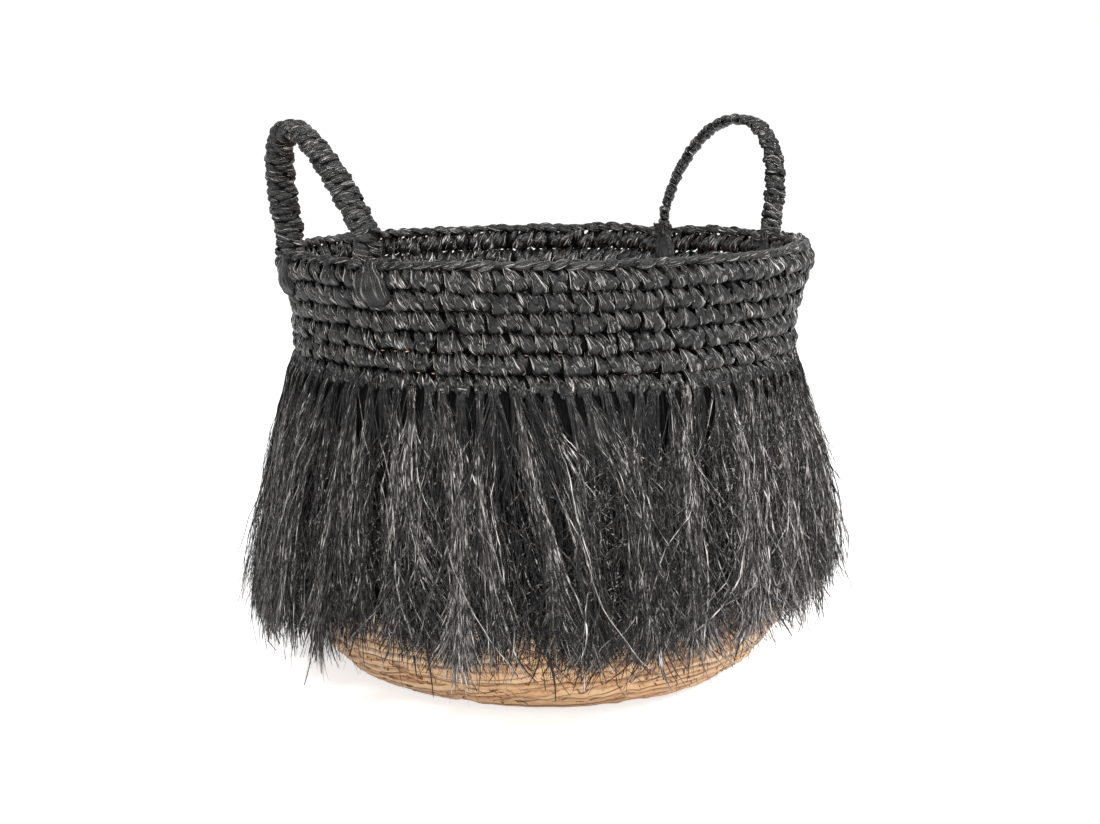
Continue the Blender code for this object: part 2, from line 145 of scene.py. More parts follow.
# Handles
SIDES = {"right": 1.0, "left": -1.0}
ENDS = {"front": -1.0, "rear": 1.0}
HANDLE_LEAN = math.radians(18)
FOOT_ANGLE = {"right": math.radians(18.1), "left": math.radians(16.4)}
FOOT_INSET = 5.25 * MM
HANDLE_RISE = {"right": 75.4 * MM, "left": 70.9 * MM}
CROWN_SQUARENESS = {"right": 0.90, "left": 1.00}
CROWN_POINTEDNESS = {"right": 1.10, "left": 1.65}
CROWN_SKEW = {"right": 0.0, "left": -0.12}
GRIP_THICKNESS = {"right": 6.8 * MM, "left": 11.0 * MM}
GRIP_WIDTH = {"right": 15.0 * MM, "left": 19.0 * MM}
GRIP_TURN = {"right": (-38, -18, -50), "left": (-22, -18, 0)}  # degrees at the first foot, crown, other foot
ARCH_POINTS = 400
WRAP_TURNS = 44
WRAP_STITCHES = 4
WRAP_FIBRES = 5
WRAP_SINK = 1.2 * MM
PAD_LENGTH = 24 * MM
PAD_LAYERS = ((13, 1.9 * MM), (11, 1.7 * MM))  # how many strands, and half their width
TANGLE_STRANDS = 34

# Stage
FLOOR_REACH = 30.0
WORLD_LIGHT = 0.20
LIGHTS = {  # degrees from the camera's side and up; distance and size in metres; watts
    "key": (-38, 42, 2.2, 0.30, 26),
    "second": (60, 34, 2.3, 0.30, 47),
    "front": (6, 30, 2.6, 0.22, 8),
    "top": (5, 75, 2.2, 0.7, 16),
    "low_fill": (10, 3, 2.6, 1.4, 30),
}
LIGHTS_AIM = Vector((0.0, 0.0, 0.15))

# Camera: fitted to the photograph, which is 1100 pixels wide
PHOTO_WIDTH = 1100
FOCAL_PIXELS = 1962
SENSOR_WIDTH = 36.0
CAMERA_DISTANCE = 1.40
CAMERA_HEIGHT = 0.404
CAMERA_AZIMUTH = math.radians(-38.6)
CAMERA_YAW = math.radians(0.143)
CAMERA_PITCH = math.radians(8.97)

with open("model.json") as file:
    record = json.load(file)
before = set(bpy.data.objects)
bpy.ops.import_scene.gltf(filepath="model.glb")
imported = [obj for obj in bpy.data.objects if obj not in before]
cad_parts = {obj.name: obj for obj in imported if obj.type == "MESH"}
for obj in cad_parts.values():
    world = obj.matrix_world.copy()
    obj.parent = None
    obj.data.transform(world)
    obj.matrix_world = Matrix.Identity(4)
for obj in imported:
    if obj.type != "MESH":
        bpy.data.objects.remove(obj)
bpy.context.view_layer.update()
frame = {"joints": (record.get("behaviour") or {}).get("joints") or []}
RIM_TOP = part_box("rim_braid")[1].z
RIM_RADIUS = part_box("crochet_neck")[1].x - 2.5 * MM
CHAIN_RADIUS = RIM_RADIUS - CHAIN_INSET
NECK_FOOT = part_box("crochet_neck")[0].z
NECK_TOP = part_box("crochet_neck")[1].z
BOWL_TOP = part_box("wall_coil")[1].z
HINGES = {joint["child"]: joint for joint in frame["joints"]}


# Shapes and directions

def unit(vectors):
    return vectors / np.maximum(np.linalg.norm(vectors, axis=-1, keepdims=True), 1e-12)


def smooth(share):
    share = np.clip(share, 0.0, 1.0)
    return share * share * (3 - 2 * share)


def signed_power(value, power):
    return np.sign(value) * np.abs(value) ** power


def hump(angle, middle, reach):
    """1 at one angle round the basket, and next to nothing farther from it than twice the reach."""
    away = np.angle(np.exp(1j * (np.asarray(angle) - middle)))
    return np.exp(-(away / reach) ** 2)


def on_wall(angle, radius, height):
    """Points at angles, radii and heights round the basket's axis."""
    angle, radius, height = np.broadcast_arrays(angle, radius, height)
    return np.stack([radius * np.cos(angle), radius * np.sin(angle), height], -1)


def outward_at(angle):
    return on_wall(angle, 1.0, 0.0)


def turned(first, second, angle):
    """Two directions at right angles, turned together in their own plane."""
    return first * np.cos(angle) + second * np.sin(angle), second * np.cos(angle) - first * np.sin(angle)


def path_directions(points, closed=False):
    """Unit directions along paths given as an array of strand, station, xyz."""
    if closed:
        return unit(np.roll(points, -1, 1) - np.roll(points, 1, 1))
    return unit(np.gradient(points, axis=1))


def foot_angle(side, end):
    """The angle round the rim at which a handle's foot is tied down."""
    x, y, _ = HINGES[f"handle_{side}"]["pos_m"]
    return math.atan2(y, x) + SIDES[side] * ENDS[end] * FOOT_ANGLE[side]


def neck_radius(height):
    """The neck's outer radius at a height."""
    return NECK_RADIUS + (RIM_RADIUS - NECK_RADIUS) * smooth((height - FLARE_START) / (FLARE_END - FLARE_START))


def neck_lift(verts):
    """How far the neck stands above the CAD's level one: more on one side of the rim, and less at the feet."""
    climb = np.clip((verts[:, 2] - NECK_FOOT) / (NECK_TOP - NECK_FOOT), 0, 1)
    around = np.arctan2(verts[:, 1], verts[:, 0])
    rise = RIM_LIFT + RIM_TILT * np.cos(around - HIGH_ANGLE)
    for side in SIDES:
        for end in ENDS:
            rise = rise - FOOT_DIP * hump(around, foot_angle(side, end), FOOT_DIP_REACH)
    return rise * climb


def draws(dice, count):
    """Two ways to draw a number for each of a number of strands: between two limits, and on a bell curve."""
    def pick(low=0.0, high=1.0):
        return dice.uniform(low, high, (count, 1))

    def bell(spread):
        return dice.normal(0, spread, (count, 1))

    return pick, bell


# Mesh building

def add_object(name, data):
    made = bpy.data.objects.new(name, data)
    bpy.context.scene.collection.objects.link(made)
    return made


def set_map(mesh, name, u, v):
    """Fills a mesh's texture map, and makes it first if there is none of that name."""
    layer = mesh.uv_layers.get(name) or mesh.uv_layers.new(name=name)
    layer.data.foreach_set("uv", np.stack([u, v], -1).astype(np.float32).ravel())


def set_attribute(mesh, name, values):
    mesh.attributes.new(name, "FLOAT", "POINT").data.foreach_set("value", values.astype(np.float32).ravel())


def settle(piece, node=None):
    """A piece that stays with the basket, and is shown for one of the CAD's nodes if one is named."""
    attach(piece, "basket")
    if node:
        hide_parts(node)


class Strands:
    """A mesh of many tubes, each swept along its own path with its own width, depth and tone."""

    def __init__(self):
        self.verts, self.faces, self.corners, self.tones = [], [], [], []
        self.count = 0  # of vertices
        self.strands = 0

    def add(self, points, out, width, depth, section, tone, roll=0.0, closed=False, flat=False, run=1.0):
        """Adds a tube for each path.

        points: strand, station, xyz. out: the side that faces away. section: its corners, (across, out).
        closed: the path is a ring. flat: the section is an open strip, with no caps. run: how fast the streaks
        of the material follow one another along the strand.
        """
        strands, stations, _ = points.shape
        sides = section.shape[-2]

        def each(values):
            return np.broadcast_to(np.asarray(values, float), (strands, stations))[..., None]

        along = path_directions(points, closed)
        across = unit(np.cross(along, out))
        across, outward = turned(across, unit(np.cross(across, along)), each(roll))
        ring = across[:, :, None] * (each(width) * section[..., 0])[..., None]
        ring = ring + outward[:, :, None] * (each(depth) * section[..., 1])[..., None]
        self.verts.append((points[:, :, None] + ring).reshape(-1, 3))
        spans = stations if closed else stations - 1
        faces_round = sides - 1 if flat else sides
        s, m, k = np.meshgrid(np.arange(strands), np.arange(spans), np.arange(faces_round), indexing="ij")

        def index(station, side):
            return (s * stations + station % stations) * sides + side % sides

        quads = np.stack([index(m, k), index(m + 1, k), index(m + 1, k + 1), index(m, k + 1)], -1)
        u = np.stack([k, k, k + 1, k + 1], -1) / faces_round
        v = np.stack([m, m + 1, m + 1, m], -1) / spans
        self.add_faces(quads, s[..., None], u, v, run)
        if not closed and not flat:
            owner = np.arange(strands)[:, None]
            first = owner * stations * sides + np.arange(sides)
            last = first + (stations - 1) * sides
            for cap, end in ((first, 0.0), (last[:, ::-1], 1.0)):
                self.add_faces(cap, owner, np.full(cap.shape, 0.5), end, run)
        tone = np.asarray(tone, float)
        tone = np.broadcast_to(tone if tone.ndim == 2 else tone.reshape(-1, 1), (strands, stations))
        self.tones.append(np.repeat(tone, sides))
        self.count += strands * stations * sides
        self.strands += strands

    def add_faces(self, faces, strand, u, v, run):
        """Keeps faces, and for each corner its strand, its places across and along, and its place in the noise."""
        self.faces.append(faces.reshape(-1, faces.shape[-1]) + self.count)
        corners = np.broadcast_arrays(strand + self.strands, u, v, v * run)
        self.corners.append(np.stack(corners, -1).reshape(-1, 4))

    def add_round(self, around, radius, height, *looks, face=1.0, **options):
        """Adds strands given round the basket's axis, that face away from it, 1, or towards it, -1."""
        self.add(on_wall(around, radius, height), face * outward_at(around), *looks, **options)

    def build(self, name, material, columns=None, lifted=False):
        """The mesh object. Each strand has its own cell of the texture map, in so many columns.

        lifted: the piece follows the neck, whose rim stands a little higher on one side than on the other.
        """
        verts = np.concatenate(self.verts)
        if lifted:
            verts[:, 2] += neck_lift(verts)
        sizes = np.concatenate([np.full(len(face), face.shape[1]) for face in self.faces])
        loops = np.concatenate([face.ravel() for face in self.faces])
        mesh = bpy.data.meshes.new(name)
        mesh.vertices.add(len(verts))
        mesh.vertices.foreach_set("co", verts.astype(np.float32).ravel())
        mesh.loops.add(len(loops))
        mesh.loops.foreach_set("vertex_index", loops.astype(np.int32))
        mesh.polygons.add(len(sizes))
        mesh.polygons.foreach_set("loop_start", (np.cumsum(sizes) - sizes).astype(np.int32))
        mesh.update(calc_edges=True)
        mesh.polygons.foreach_set("use_smooth", np.ones(len(sizes), bool))
        cell, u, v, along = np.concatenate(self.corners).T
        cell = cell.astype(int)
        columns = columns or math.ceil(math.sqrt(self.strands))
        rows = math.ceil(self.strands / columns)
        room = 1 - 2 * CELL_MARGIN
        set_map(
            mesh, "OFBake",
            (cell % columns + CELL_MARGIN + u * room) / columns, (cell // columns + CELL_MARGIN + v * room) / rows,
        )
        shift = cell * NOISE_STEP % 1.0 * NOISE_REACH
        set_map(mesh, "fibres", u + shift, along + shift)
        # The tone: each strand's own tone and, in places, painted shade and painted highlights
        set_attribute(mesh, "tone", np.concatenate(self.tones))
        mesh.materials.append(material)
        return add_object(name, mesh)


STRIP = np.array([[-1.0, 0.0], [1.0, 0.0]])


def oval(sides, squareness=1.0):
    """A section's corners, as across and out, anticlockwise from its right-hand edge."""
    turn = np.arange(sides) * TURN / sides
    return signed_power(np.stack([np.cos(turn), np.sin(turn)], -1), squareness)


def pleated(front=15, back=3, pleats=3.6, pleat_depth=0.34):
    """A leaf's section: a domed and pleated front over a flatter back."""
    turn = np.linspace(0, math.pi, front)
    dome = np.sin(turn) ** 0.8 * (1 + pleat_depth * np.cos(pleats * TURN * np.cos(turn) + 1.0))
    face = np.stack([np.cos(turn), dome], -1)
    turn = np.linspace(0, math.pi, back + 2)[1:-1]
    return np.concatenate([face, np.stack([-np.cos(turn), -0.5 * np.sin(turn)], -1)])


def swell(share, fullest):
    """0 at both ends of a leaf and 1 at its fullest place."""
    return np.sin(math.pi * np.clip(share, 0, 1) ** (math.log(0.5) / math.log(fullest)))


def fan_shape(share, broadest=0.72):
    """A leaf's width as a share: narrow where it comes out of its hole, broad low down, and blunt at its tip."""
    opening = 0.08 + 0.92 * np.clip(share / broadest, 0, 1) ** 1.2
    return opening * np.sqrt(np.clip(1 - (np.clip(share - broadest, 0, 1) / 0.30) ** 2, 0.02, 1))


def domed(depth, place):
    """How far a leaf's front stands out at a place across it, from -1 to 1."""
    return depth * np.sqrt(1 - place ** 2) * 0.95


def add_fibres(strands, number, points, outward, width, rise, fine, tone, sides, roll, edge, dice):
    """Fine fibres raised along broad leaves, at random places across them.

    rise: how far they stand out, from the place across. fine: least thickness and how much more some have, in mm.
    tone: the same for their tones, whose high values paint glints of light along them. roll: draws how each is
    turned. edge: the farthest place across.
    """
    count = len(points)
    pick, _ = draws(dice, count)
    across = unit(np.cross(path_directions(points), outward))
    for _ in range(number):
        place = pick(-edge, edge)
        raised = outward * rise(place)[..., None] + across * (place * width)[..., None]
        thin = (fine[0] + fine[1] * pick()) * MM
        tones = tone[0] + tone[1] * dice.random(count)
        strands.add(points + raised, outward, thin, thin, oval(sides), tones, roll(), run=FIBRE_RUN)


# Materials

class Nodes:
    """A node tree, and short ways to add to it. A value is a number, a colour or another node's output."""

    def __init__(self, tree):
        self.tree = tree

    def feed(self, socket, value):
        if isinstance(value, bpy.types.NodeSocket):
            self.tree.links.new(value, socket)
        else:
            socket.default_value = value

    def add(self, kind, inputs=None, **settings):
        node = self.tree.nodes.new(f"ShaderNode{kind}")
        for name, setting in settings.items():
            setattr(node, name, setting)
        for name, value in (inputs or {}).items():
            self.feed(node.inputs[name], value)
        return node

    def math(self, operation, *values):
        return self.add("Math", dict(enumerate(values)), operation=operation).outputs["Value"]

    def attribute(self, name):
        return self.add("Attribute", attribute_name=name).outputs["Fac"]

    def ramp(self, value, stops):
        """The colour for a value, from stops of (place, linear rgb) or (place, grey)."""
        node = self.add("ValToRGB", {"Fac": value})
        elements = node.color_ramp.elements
        while len(elements) < len(stops):
            elements.new(0.5)
        for element, (place, colour) in zip(elements, stops):
            element.position = place
            element.color = (*np.broadcast_to(colour, 3), 1.0)
        return node.outputs["Color"]

    def fibre_noise(self, grain, detail, map_name="fibres"):
        """Noise drawn out along the fibres. grain: how many times across and along."""
        where = self.add("UVMap", uv_map=map_name).outputs["UV"]
        stretched = self.add("Mapping", {"Vector": where, "Scale": (*grain, 1.0)}).outputs["Vector"]
        return self.add("TexNoise", {"Vector": stretched, "Scale": 1.0, "Detail": detail}).outputs["Fac"]

    def bump(self, height, strength, distance):
        inputs = {"Height": height, "Strength": strength, "Distance": distance}
        return self.add("Bump", inputs).outputs["Normal"]

    def backdrop_rays(self):
        """1 for the rays that should see the pale backdrop: from the camera, mirrored, or through glass."""
        rays = self.add("LightPath").outputs
        either = self.math("MAXIMUM", rays["Is Camera Ray"], rays["Is Glossy Ray"])
        return self.math("MAXIMUM", either, rays["Is Transmission Ray"])


def new_material(name):
    made = bpy.data.materials.new(name)
    made.use_nodes = True
    return made, Nodes(made.node_tree), made.node_tree.nodes["Principled BSDF"]


def raffia_material(name, dark, middle, pale, grain, relief, tone_share, rough, specular):
    """Dyed raffia: dark, with painted highlights as bright broken streaks along its fibres, a tone for each strand
    and a broken shine.

    grain: how many times the streaks repeat across and along. rough: the least and the greatest. pale: the painted
    highlights' colour.
    """
    made, nodes, shader = new_material(name)
    streaks = nodes.fibre_noise(grain, 3.0)
    level = nodes.math("MULTIPLY_ADD", nodes.attribute("tone"), tone_share, streaks)
    level = nodes.math("SUBTRACT", level, tone_share / 2)
    # Painted highlights: the pale streaks, and the glint colour that leads up to them, stand in for glints of
    # light on the fibres
    glint = tuple(0.3 * value for value in pale)
    colour = nodes.ramp(level, ((0.36, dark), (0.56, middle), (0.61, glint), (0.68, pale)))
    nodes.feed(shader.inputs["Base Color"], colour)
    nodes.feed(shader.inputs["Roughness"], nodes.ramp(streaks, ((0.38, rough[0]), (0.60, rough[1]))))
    nodes.feed(shader.inputs["Normal"], nodes.bump(streaks, 1.0, relief))
    shader.inputs["Specular IOR Level"].default_value = specular
    return made


def bark_material(name):
    """Twisted bark and leaf: tan strips with long streaks, and painted shade in the creases where one strip laps
    the next and along the rope's seams.
    """
    made, nodes, shader = new_material(name)
    lay = nodes.add("UVMap", uv_map="lay").outputs["UV"]
    across = nodes.add("SeparateXYZ", {"Vector": lay}).outputs["X"]
    leaf = nodes.math("FLOOR", across)
    tone = nodes.add("TexWhiteNoise", {"W": leaf}, noise_dimensions="1D").outputs["Value"]
    streaks = nodes.fibre_noise((5.5, 34.0), 4.0, "lay")
    blotches = nodes.fibre_noise((0.6, 9.0), 3.0, "lay")
    total = 0.0
    for source, amount in ((streaks, 0.38), (tone, 0.28), (blotches, 0.40)):
        total = nodes.math("MULTIPLY_ADD", source, amount, total)
    colour = nodes.ramp(
        total,
        (
            (0.26, (0.30, 0.120, 0.045)),
            (0.40, (0.57, 0.310, 0.140)),
            (0.54, (0.74, 0.460, 0.238)),
            (0.76, (0.82, 0.600, 0.375)),
        ),
    )
    # Painted shade: darker bark in the crease where one strip laps the next, and in the rope's seams and groove
    edge = nodes.math("FRACT", across)
    lap = nodes.ramp(edge, ((0.0, 1.0), (0.07, 0.9), (0.16, 0.0), (0.96, 0.0), (1.0, 0.8)))
    crease_shade = nodes.math("MULTIPLY", lap, nodes.math("MULTIPLY_ADD", tone, 0.8, 0.3))
    bark_shade = nodes.math("MAXIMUM", crease_shade, nodes.attribute("seam"))
    # Mixes in the dark brown of the painted shade
    mix = {"Factor": bark_shade, "A": colour, "B": (0.130, 0.046, 0.018, 1.0)}
    nodes.feed(shader.inputs["Base Color"], nodes.add("Mix", mix, data_type="RGBA").outputs["Result"])
    nodes.feed(shader.inputs["Roughness"], nodes.ramp(blotches, ((0.3, 0.34), (0.7, 0.62))))
    sunk = nodes.math("SUBTRACT", streaks, crease_shade)
    nodes.feed(shader.inputs["Normal"], nodes.bump(sunk, 0.8, 0.55 * MM))
    return made


# Bowl

def rope_outline():
    """Radius and height of the rope's middle, from the centre of the floor to the foot of the neck, and run."""
    half = ROPE_THICKNESS / 2
    turn = np.linspace(0, math.pi / 2, OUTLINE_STEPS)[1:]
    low_r = FLOOR_RADIUS + (BELLY_RADIUS - half - FLOOR_RADIUS) * np.sin(turn)
    low_z = half + (BELLY_HEIGHT - half) * (1 - np.cos(turn))
    share = np.linspace(0, 1, OUTLINE_STEPS)[1:]
    high_r = BELLY_RADIUS - half - (BELLY_RADIUS - NECK_RADIUS) * (1 - np.cos(math.pi * share)) / 2
    high_z = BELLY_HEIGHT + (BOWL_TOP - BELLY_HEIGHT) * share
    radius = np.concatenate([[0.0, FLOOR_RADIUS], low_r, high_r])
    height = np.concatenate([[half, half], low_z, high_z])
    run = np.concatenate([[0.0], np.cumsum(np.hypot(np.diff(radius), np.diff(height)))])
    return radius, height, run


def outline_at(outline, run):
    """Radius, height and slope at distances along the outline."""
    radius, height, runs = outline
    ahead, behind = run + 0.5 * MM, run - 0.5 * MM
    slope = np.arctan2(
        np.interp(ahead, runs, height) - np.interp(behind, runs, height),
        np.interp(ahead, runs, radius) - np.interp(behind, runs, radius),
    )
    return np.interp(run, runs, radius), np.interp(run, runs, height), slope


def off_outline(angle, r, z, slope, lift):
    """Points at a distance outside the outline, and the direction that faces away from it."""
    points = on_wall(angle, r + lift * np.sin(slope), z - lift * np.cos(slope))
    return points, on_wall(angle, np.sin(slope), -np.cos(slope))


def rope_mesh(name, start_run, end_run, pitch, outline, material, dice):
    """One coil of rope between two distances along the bowl's outline, twisted from strips of bark."""
    first = start_run / pitch - 0.5 + ROPE_END_SHARE if start_run > 0 else 0.0
    last = end_run / pitch + 0.5 - ROPE_END_SHARE
    turn = np.linspace(first, last, round((last - first) * ROPE_STEPS) + 1)
    inner = np.maximum(np.maximum(pitch * (turn - 0.5), start_run), ROPE_START_RADIUS)
    outer = np.minimum(pitch * (turn + 0.5), end_run)
    r, z, slope = outline_at(outline, (inner + outer) / 2)
    fullness = np.clip((outer - inner) / pitch, 0.05, 1.0)
    angle = TURN * turn
    wobble = sum(
        dice.uniform(0.3, 0.55) * MM * np.sin(angle * rate + dice.uniform(0, TURN)) for rate in ROPE_WAVES
    )
    climbed = smooth(z / (24 * MM))
    chips = np.repeat(dice.random(len(turn) // CHIP_STEPS + 1) ** 2.5, CHIP_STEPS)[:len(turn)]
    chips = chips * CHIP_DEPTH * smooth((r - CHIP_START) / (20 * MM))
    points, outward = off_outline(angle, r, z, slope, wobble * climbed * 0.8 - chips)
    length = np.concatenate([[0.0], np.cumsum(np.linalg.norm(np.diff(points, axis=0), axis=1))])

    around = np.arange(ROPE_SIDES) / ROPE_SIDES
    drift = 0.8 * np.sin(length / (31 * MM)) + 0.5 * np.sin(length / (83 * MM) + 2)
    uneven = 0.35 * np.sin(around * TURN * 3 + 1)
    lay = LEAVES * around + uneven + (drift - LEAVES * length / LEAF_LAY)[:, None]
    rise = LEAF_RISE * ((lay % 1.0) ** 0.6 - 0.75)
    rise = rise + LEAF_BULGE * np.sin(np.floor(lay) * 12.9898 + length[:, None] / (19 * MM))
    shape = oval(ROPE_SIDES, 0.86)
    groove = np.exp(-(shape[:, 0] / 0.15) ** 2)
    inside_of_floor = (1.0 - climbed[:, None]) * (np.sin(around * TURN) > 0.2)
    depth = 1 + rise / (ROPE_THICKNESS / 2) * (1.0 - inside_of_floor)
    width = 1 + 0.2 * rise / (pitch / 2)
    section = np.stack([shape[:, 0] * width, shape[:, 1] * (1 - GROOVE_DEPTH * groove) * depth], -1)
    strands = Strands()
    half_width = pitch / 2 * fullness + SEAM_OVERLAP
    half_thickness = ROPE_THICKNESS / 2 * (0.55 + 0.45 * fullness)
    strands.add(points[None], outward[None], half_width[None], half_thickness[None], section[None], 0.5)
    rope = strands.build(name, material, columns=1)

    mesh = rope.data
    # Painted shade: the seam attribute darkens the rope's edges, where it meets the next turn, and the groove
    # along its middle
    seam = np.clip((np.abs(shape[:, 0]) - 0.80) / 0.18, 0, 1) ** 1.5
    seam = np.maximum(seam, 0.85 * groove ** 2)
    set_attribute(mesh, "seam", np.broadcast_to(seam, lay.shape))
    corners = np.zeros(len(mesh.loops), np.int32)
    mesh.loops.foreach_get("vertex_index", corners)
    station, side = corners // ROPE_SIDES, corners % ROPE_SIDES
    closing = (side == 0) & (np.arange(len(corners)) % 4 >= 2)
    set_map(mesh, "lay", lay[station, side] + LEAVES * closing, length[station] * 12.0)
    turn_map(mesh, turn[station] - turn[0], side, math.ceil(turn[-1] - turn[0]) + 1)
    return rope


def turn_map(mesh, turn, side, columns):
    """Lays the rope's texture map out with one column for each turn of the coil."""
    column = np.floor(np.repeat(turn[::4], 4))
    across = CELL_MARGIN + (1 - 2 * CELL_MARGIN) * side / ROPE_SIDES
    set_map(mesh, "OFBake", (column + across) / columns, np.clip(turn - column, 0, 1.02) / 1.03)


def sew_bowl(outline, pitch, first, material, dice):
    """The slanting stitches of dark grass that tie each turn of the rope to the next, and a plug at its start."""
    radius, _, run = outline
    seams = np.arange(first + pitch, run[-1] - 2 * pitch, pitch)
    share = np.linspace(0, 1, 7)[None]
    strands = Strands()
    for number, seam in enumerate((seams[:, None] + [0.0, pitch / 2]).ravel()):
        reach = np.interp(seam, run, radius)
        count = round(TURN * reach / STITCH_SPACING * dice.uniform(0.4, 1.0))
        pick, bell = draws(dice, count)
        angle = (np.arange(count) + 0.4 * number)[:, None] * TURN / count + bell(0.05)
        slant = -1.0 + bell(0.6)
        half = (1.5 + 5.0 * pick() ** 1.5) * MM
        along = seam + half * (2 * share - 1) + pitch * (angle / TURN % 1.0 - 0.5) + bell(2.5) * MM
        around = angle + slant * half * (2 * share - 1) * 0.9 / reach
        lift = ROPE_THICKNESS / 2 * (0.98 - 0.30 * np.sin(math.pi * share) ** 2)
        lift = lift - 1.5 * MM * np.abs(2 * share - 1) ** 6
        points, outward = off_outline(around, *outline_at(outline, along), lift)
        width = (0.14 + 0.55 * pick() ** 1.6) * MM
        strands.add(points, outward, width, 0.35 * MM, oval(6), 0.2 + 0.6 * dice.random(count))
    share = np.linspace(0, 1, 9)[None]
    plug = on_wall(0.0, 0.0, PLUG_BOTTOM + PLUG_HEIGHT * share)
    wide = PLUG_RADIUS * np.sqrt(np.clip(1 - share ** 6, 0.03, 1))
    strands.add(plug, outward_at(0.0), wide, wide, oval(20), 0.6)
    settle(strands.build("bowl_stitches", material))


def make_bowl(bark, grass):
    dice = np.random.default_rng(SEEDS["bowl"])
    outline = rope_outline()
    total = outline[2][-1]
    pitch = total / round(total / ROPE_PITCH)
    floor_edge = pitch * round(FLOOR_RADIUS / pitch)
    for name, node, start, end in (
        ("bark_floor", "floor_coil", 0.0, floor_edge),
        ("bark_wall", "wall_coil", floor_edge, total),
    ):
        settle(rope_mesh(name, start, end, pitch, outline, bark, dice), node)
    sew_bowl(outline, pitch, floor_edge, grass, dice)


# Neck

class Leaf(NamedTuple):
    """A leaf of a crochet stitch. Places across are in stitches, and heights in shares of the round."""
    top_across: float
    tip_across: float
    top_height: float
    tip_height: float
    sink: float  # how deep its top lies
    rise: float  # how proud its middle stands
    wide: float  # half its width
    fullest: float  # where along it it is fullest
    fibres: int
    tilt: float


STITCH_LEAVES = (
    Leaf(0.50, 0.02, 0.30, 0.92, 2.6 * MM, 0.2 * MM, 2.4 * MM, 0.60, 2, 0.2),
    Leaf(-0.52, 0.18, 0.10, 1.06, 2.6 * MM, 1.9 * MM, 5.2 * MM, 0.66, 12, -0.22),
    Leaf(0.02, 0.48, 0.00, 0.78, 1.8 * MM, 1.6 * MM, 2.3 * MM, 0.60, 4, 0.25),
)


def add_leaves(strands, angle, height, proud, width, depth, face, roll, dice, fibres):
    """Leaves laid on the neck's outer face, 1, or inner face, -1, with fine fibres raised on each."""
    radius = neck_radius(height) + face * proud - (NECK_THICKNESS if face < 0 else 0.0)
    count = len(angle)
    pick, _ = draws(dice, count)
    section = pleated(front=13 if fibres > 2 else 9, back=2, pleat_depth=0.45)
    tone = 0.15 + 0.35 * dice.random(count)
    strands.add_round(angle, radius, height, width, depth, section, tone, roll, face=face)
    for _ in range(fibres):
        place = pick(-0.85, 0.85)
        raised = radius + face * domed(depth, place)
        fine = (0.11 + 0.16 * pick()) * MM * np.clip(width / (2 * MM), 0.5, 1)
        # The fibres' high tones paint glints of light along the leaves
        tone = 0.7 + 0.9 * dice.random(count)
        around = angle + place * width / radius
        looks = fine, fine, oval(3), tone, pick(0, math.pi)
        strands.add(on_wall(around, raised, height), face * outward_at(angle), *looks, run=FIBRE_RUN)


def add_stitches(strands, angle, top, length, face, dice):
    """A round of crochet on one face. Each stitch is a long leaf that leans, over two short ones that cross it."""
    _, bell = draws(dice, len(angle))
    share = np.linspace(0, 1, 10)[None]
    for leaf in STITCH_LEAVES:
        lean = leaf.top_across + bell(0.09) + (leaf.tip_across - leaf.top_across + bell(0.15)) * share ** 0.85
        fall = leaf.top_height + (leaf.tip_height - leaf.top_height + bell(0.06)) * share
        height = top + length * (0.14 - fall) + bell(0.5 * MM)
        full = swell(share, leaf.fullest)
        proud = -leaf.sink * (1 - share) + (leaf.rise + bell(0.4 * MM)) * full - 1.4 * MM * share ** 5
        profile = fan_shape(share) if leaf.wide > 3 * MM else full ** 0.8
        width = 0.5 * MM + (leaf.wide + bell(0.35 * MM)) * profile
        depth = 0.5 * MM + 1.2 * MM * full
        roll = (leaf.tilt + bell(0.22)) * face
        fibres = leaf.fibres if face > 0 else leaf.fibres // 3
        around = angle[:, None] + lean * STITCH_ANGLE
        add_leaves(strands, around, height, proud, width, depth, face, roll, dice, fibres)


def make_neck(raffia, shade):
    """Rounds of crochet, one piece for each face, and rings of painted shade inside them that close all but the
    upper holes.
    """
    dice = np.random.default_rng(SEEDS["neck"])
    rise = (NECK_TOP - NECK_FOOT) / ROUNDS
    core = Strands()
    for number in range(ROUNDS):
        top = NECK_FOOT + rise * (number + 1)
        angle = (np.arange(STITCHES) + ROUND_SHIFT * number) * STITCH_ANGLE
        for face, part in ((1.0, ""), (-1.0, "_inside")):
            strands = Strands()
            add_stitches(strands, angle + (0.0 if face > 0 else 0.5 * STITCH_ANGLE), top, rise, face, dice)
            row = strands.build(f"crochet_round_{number + 1}{part}", raffia, lifted=True)
            settle(row, "crochet_neck")
        steps = 3 * STITCHES
        around = (np.arange(steps) / steps * TURN)[None]
        wave = around * STITCHES
        gap = np.full(steps, HOLE_HEIGHT[0])
        if number >= ROUNDS - HOLED_ROUNDS:
            gap[::3] = dice.uniform(*HOLE_HEIGHT, STITCHES)
        height = top - rise / 2 + 0.3 * MM * np.sin(wave)
        middle = neck_radius(height) - NECK_THICKNESS / 2 - 0.8 * MM
        half_height = (rise - gap) / 2 * (1 + 0.06 * np.sin(wave))
        half_depth = 1.6 * MM * (1 + 0.15 * np.sin(wave + 1))
        core.add_round(around, middle, height, half_height, half_depth, oval(12, 0.8), 0.2, closed=True)
    # The core is painted shade: it darkens the pits between the stitches
    settle(core.build("crochet_core", shade, lifted=True))


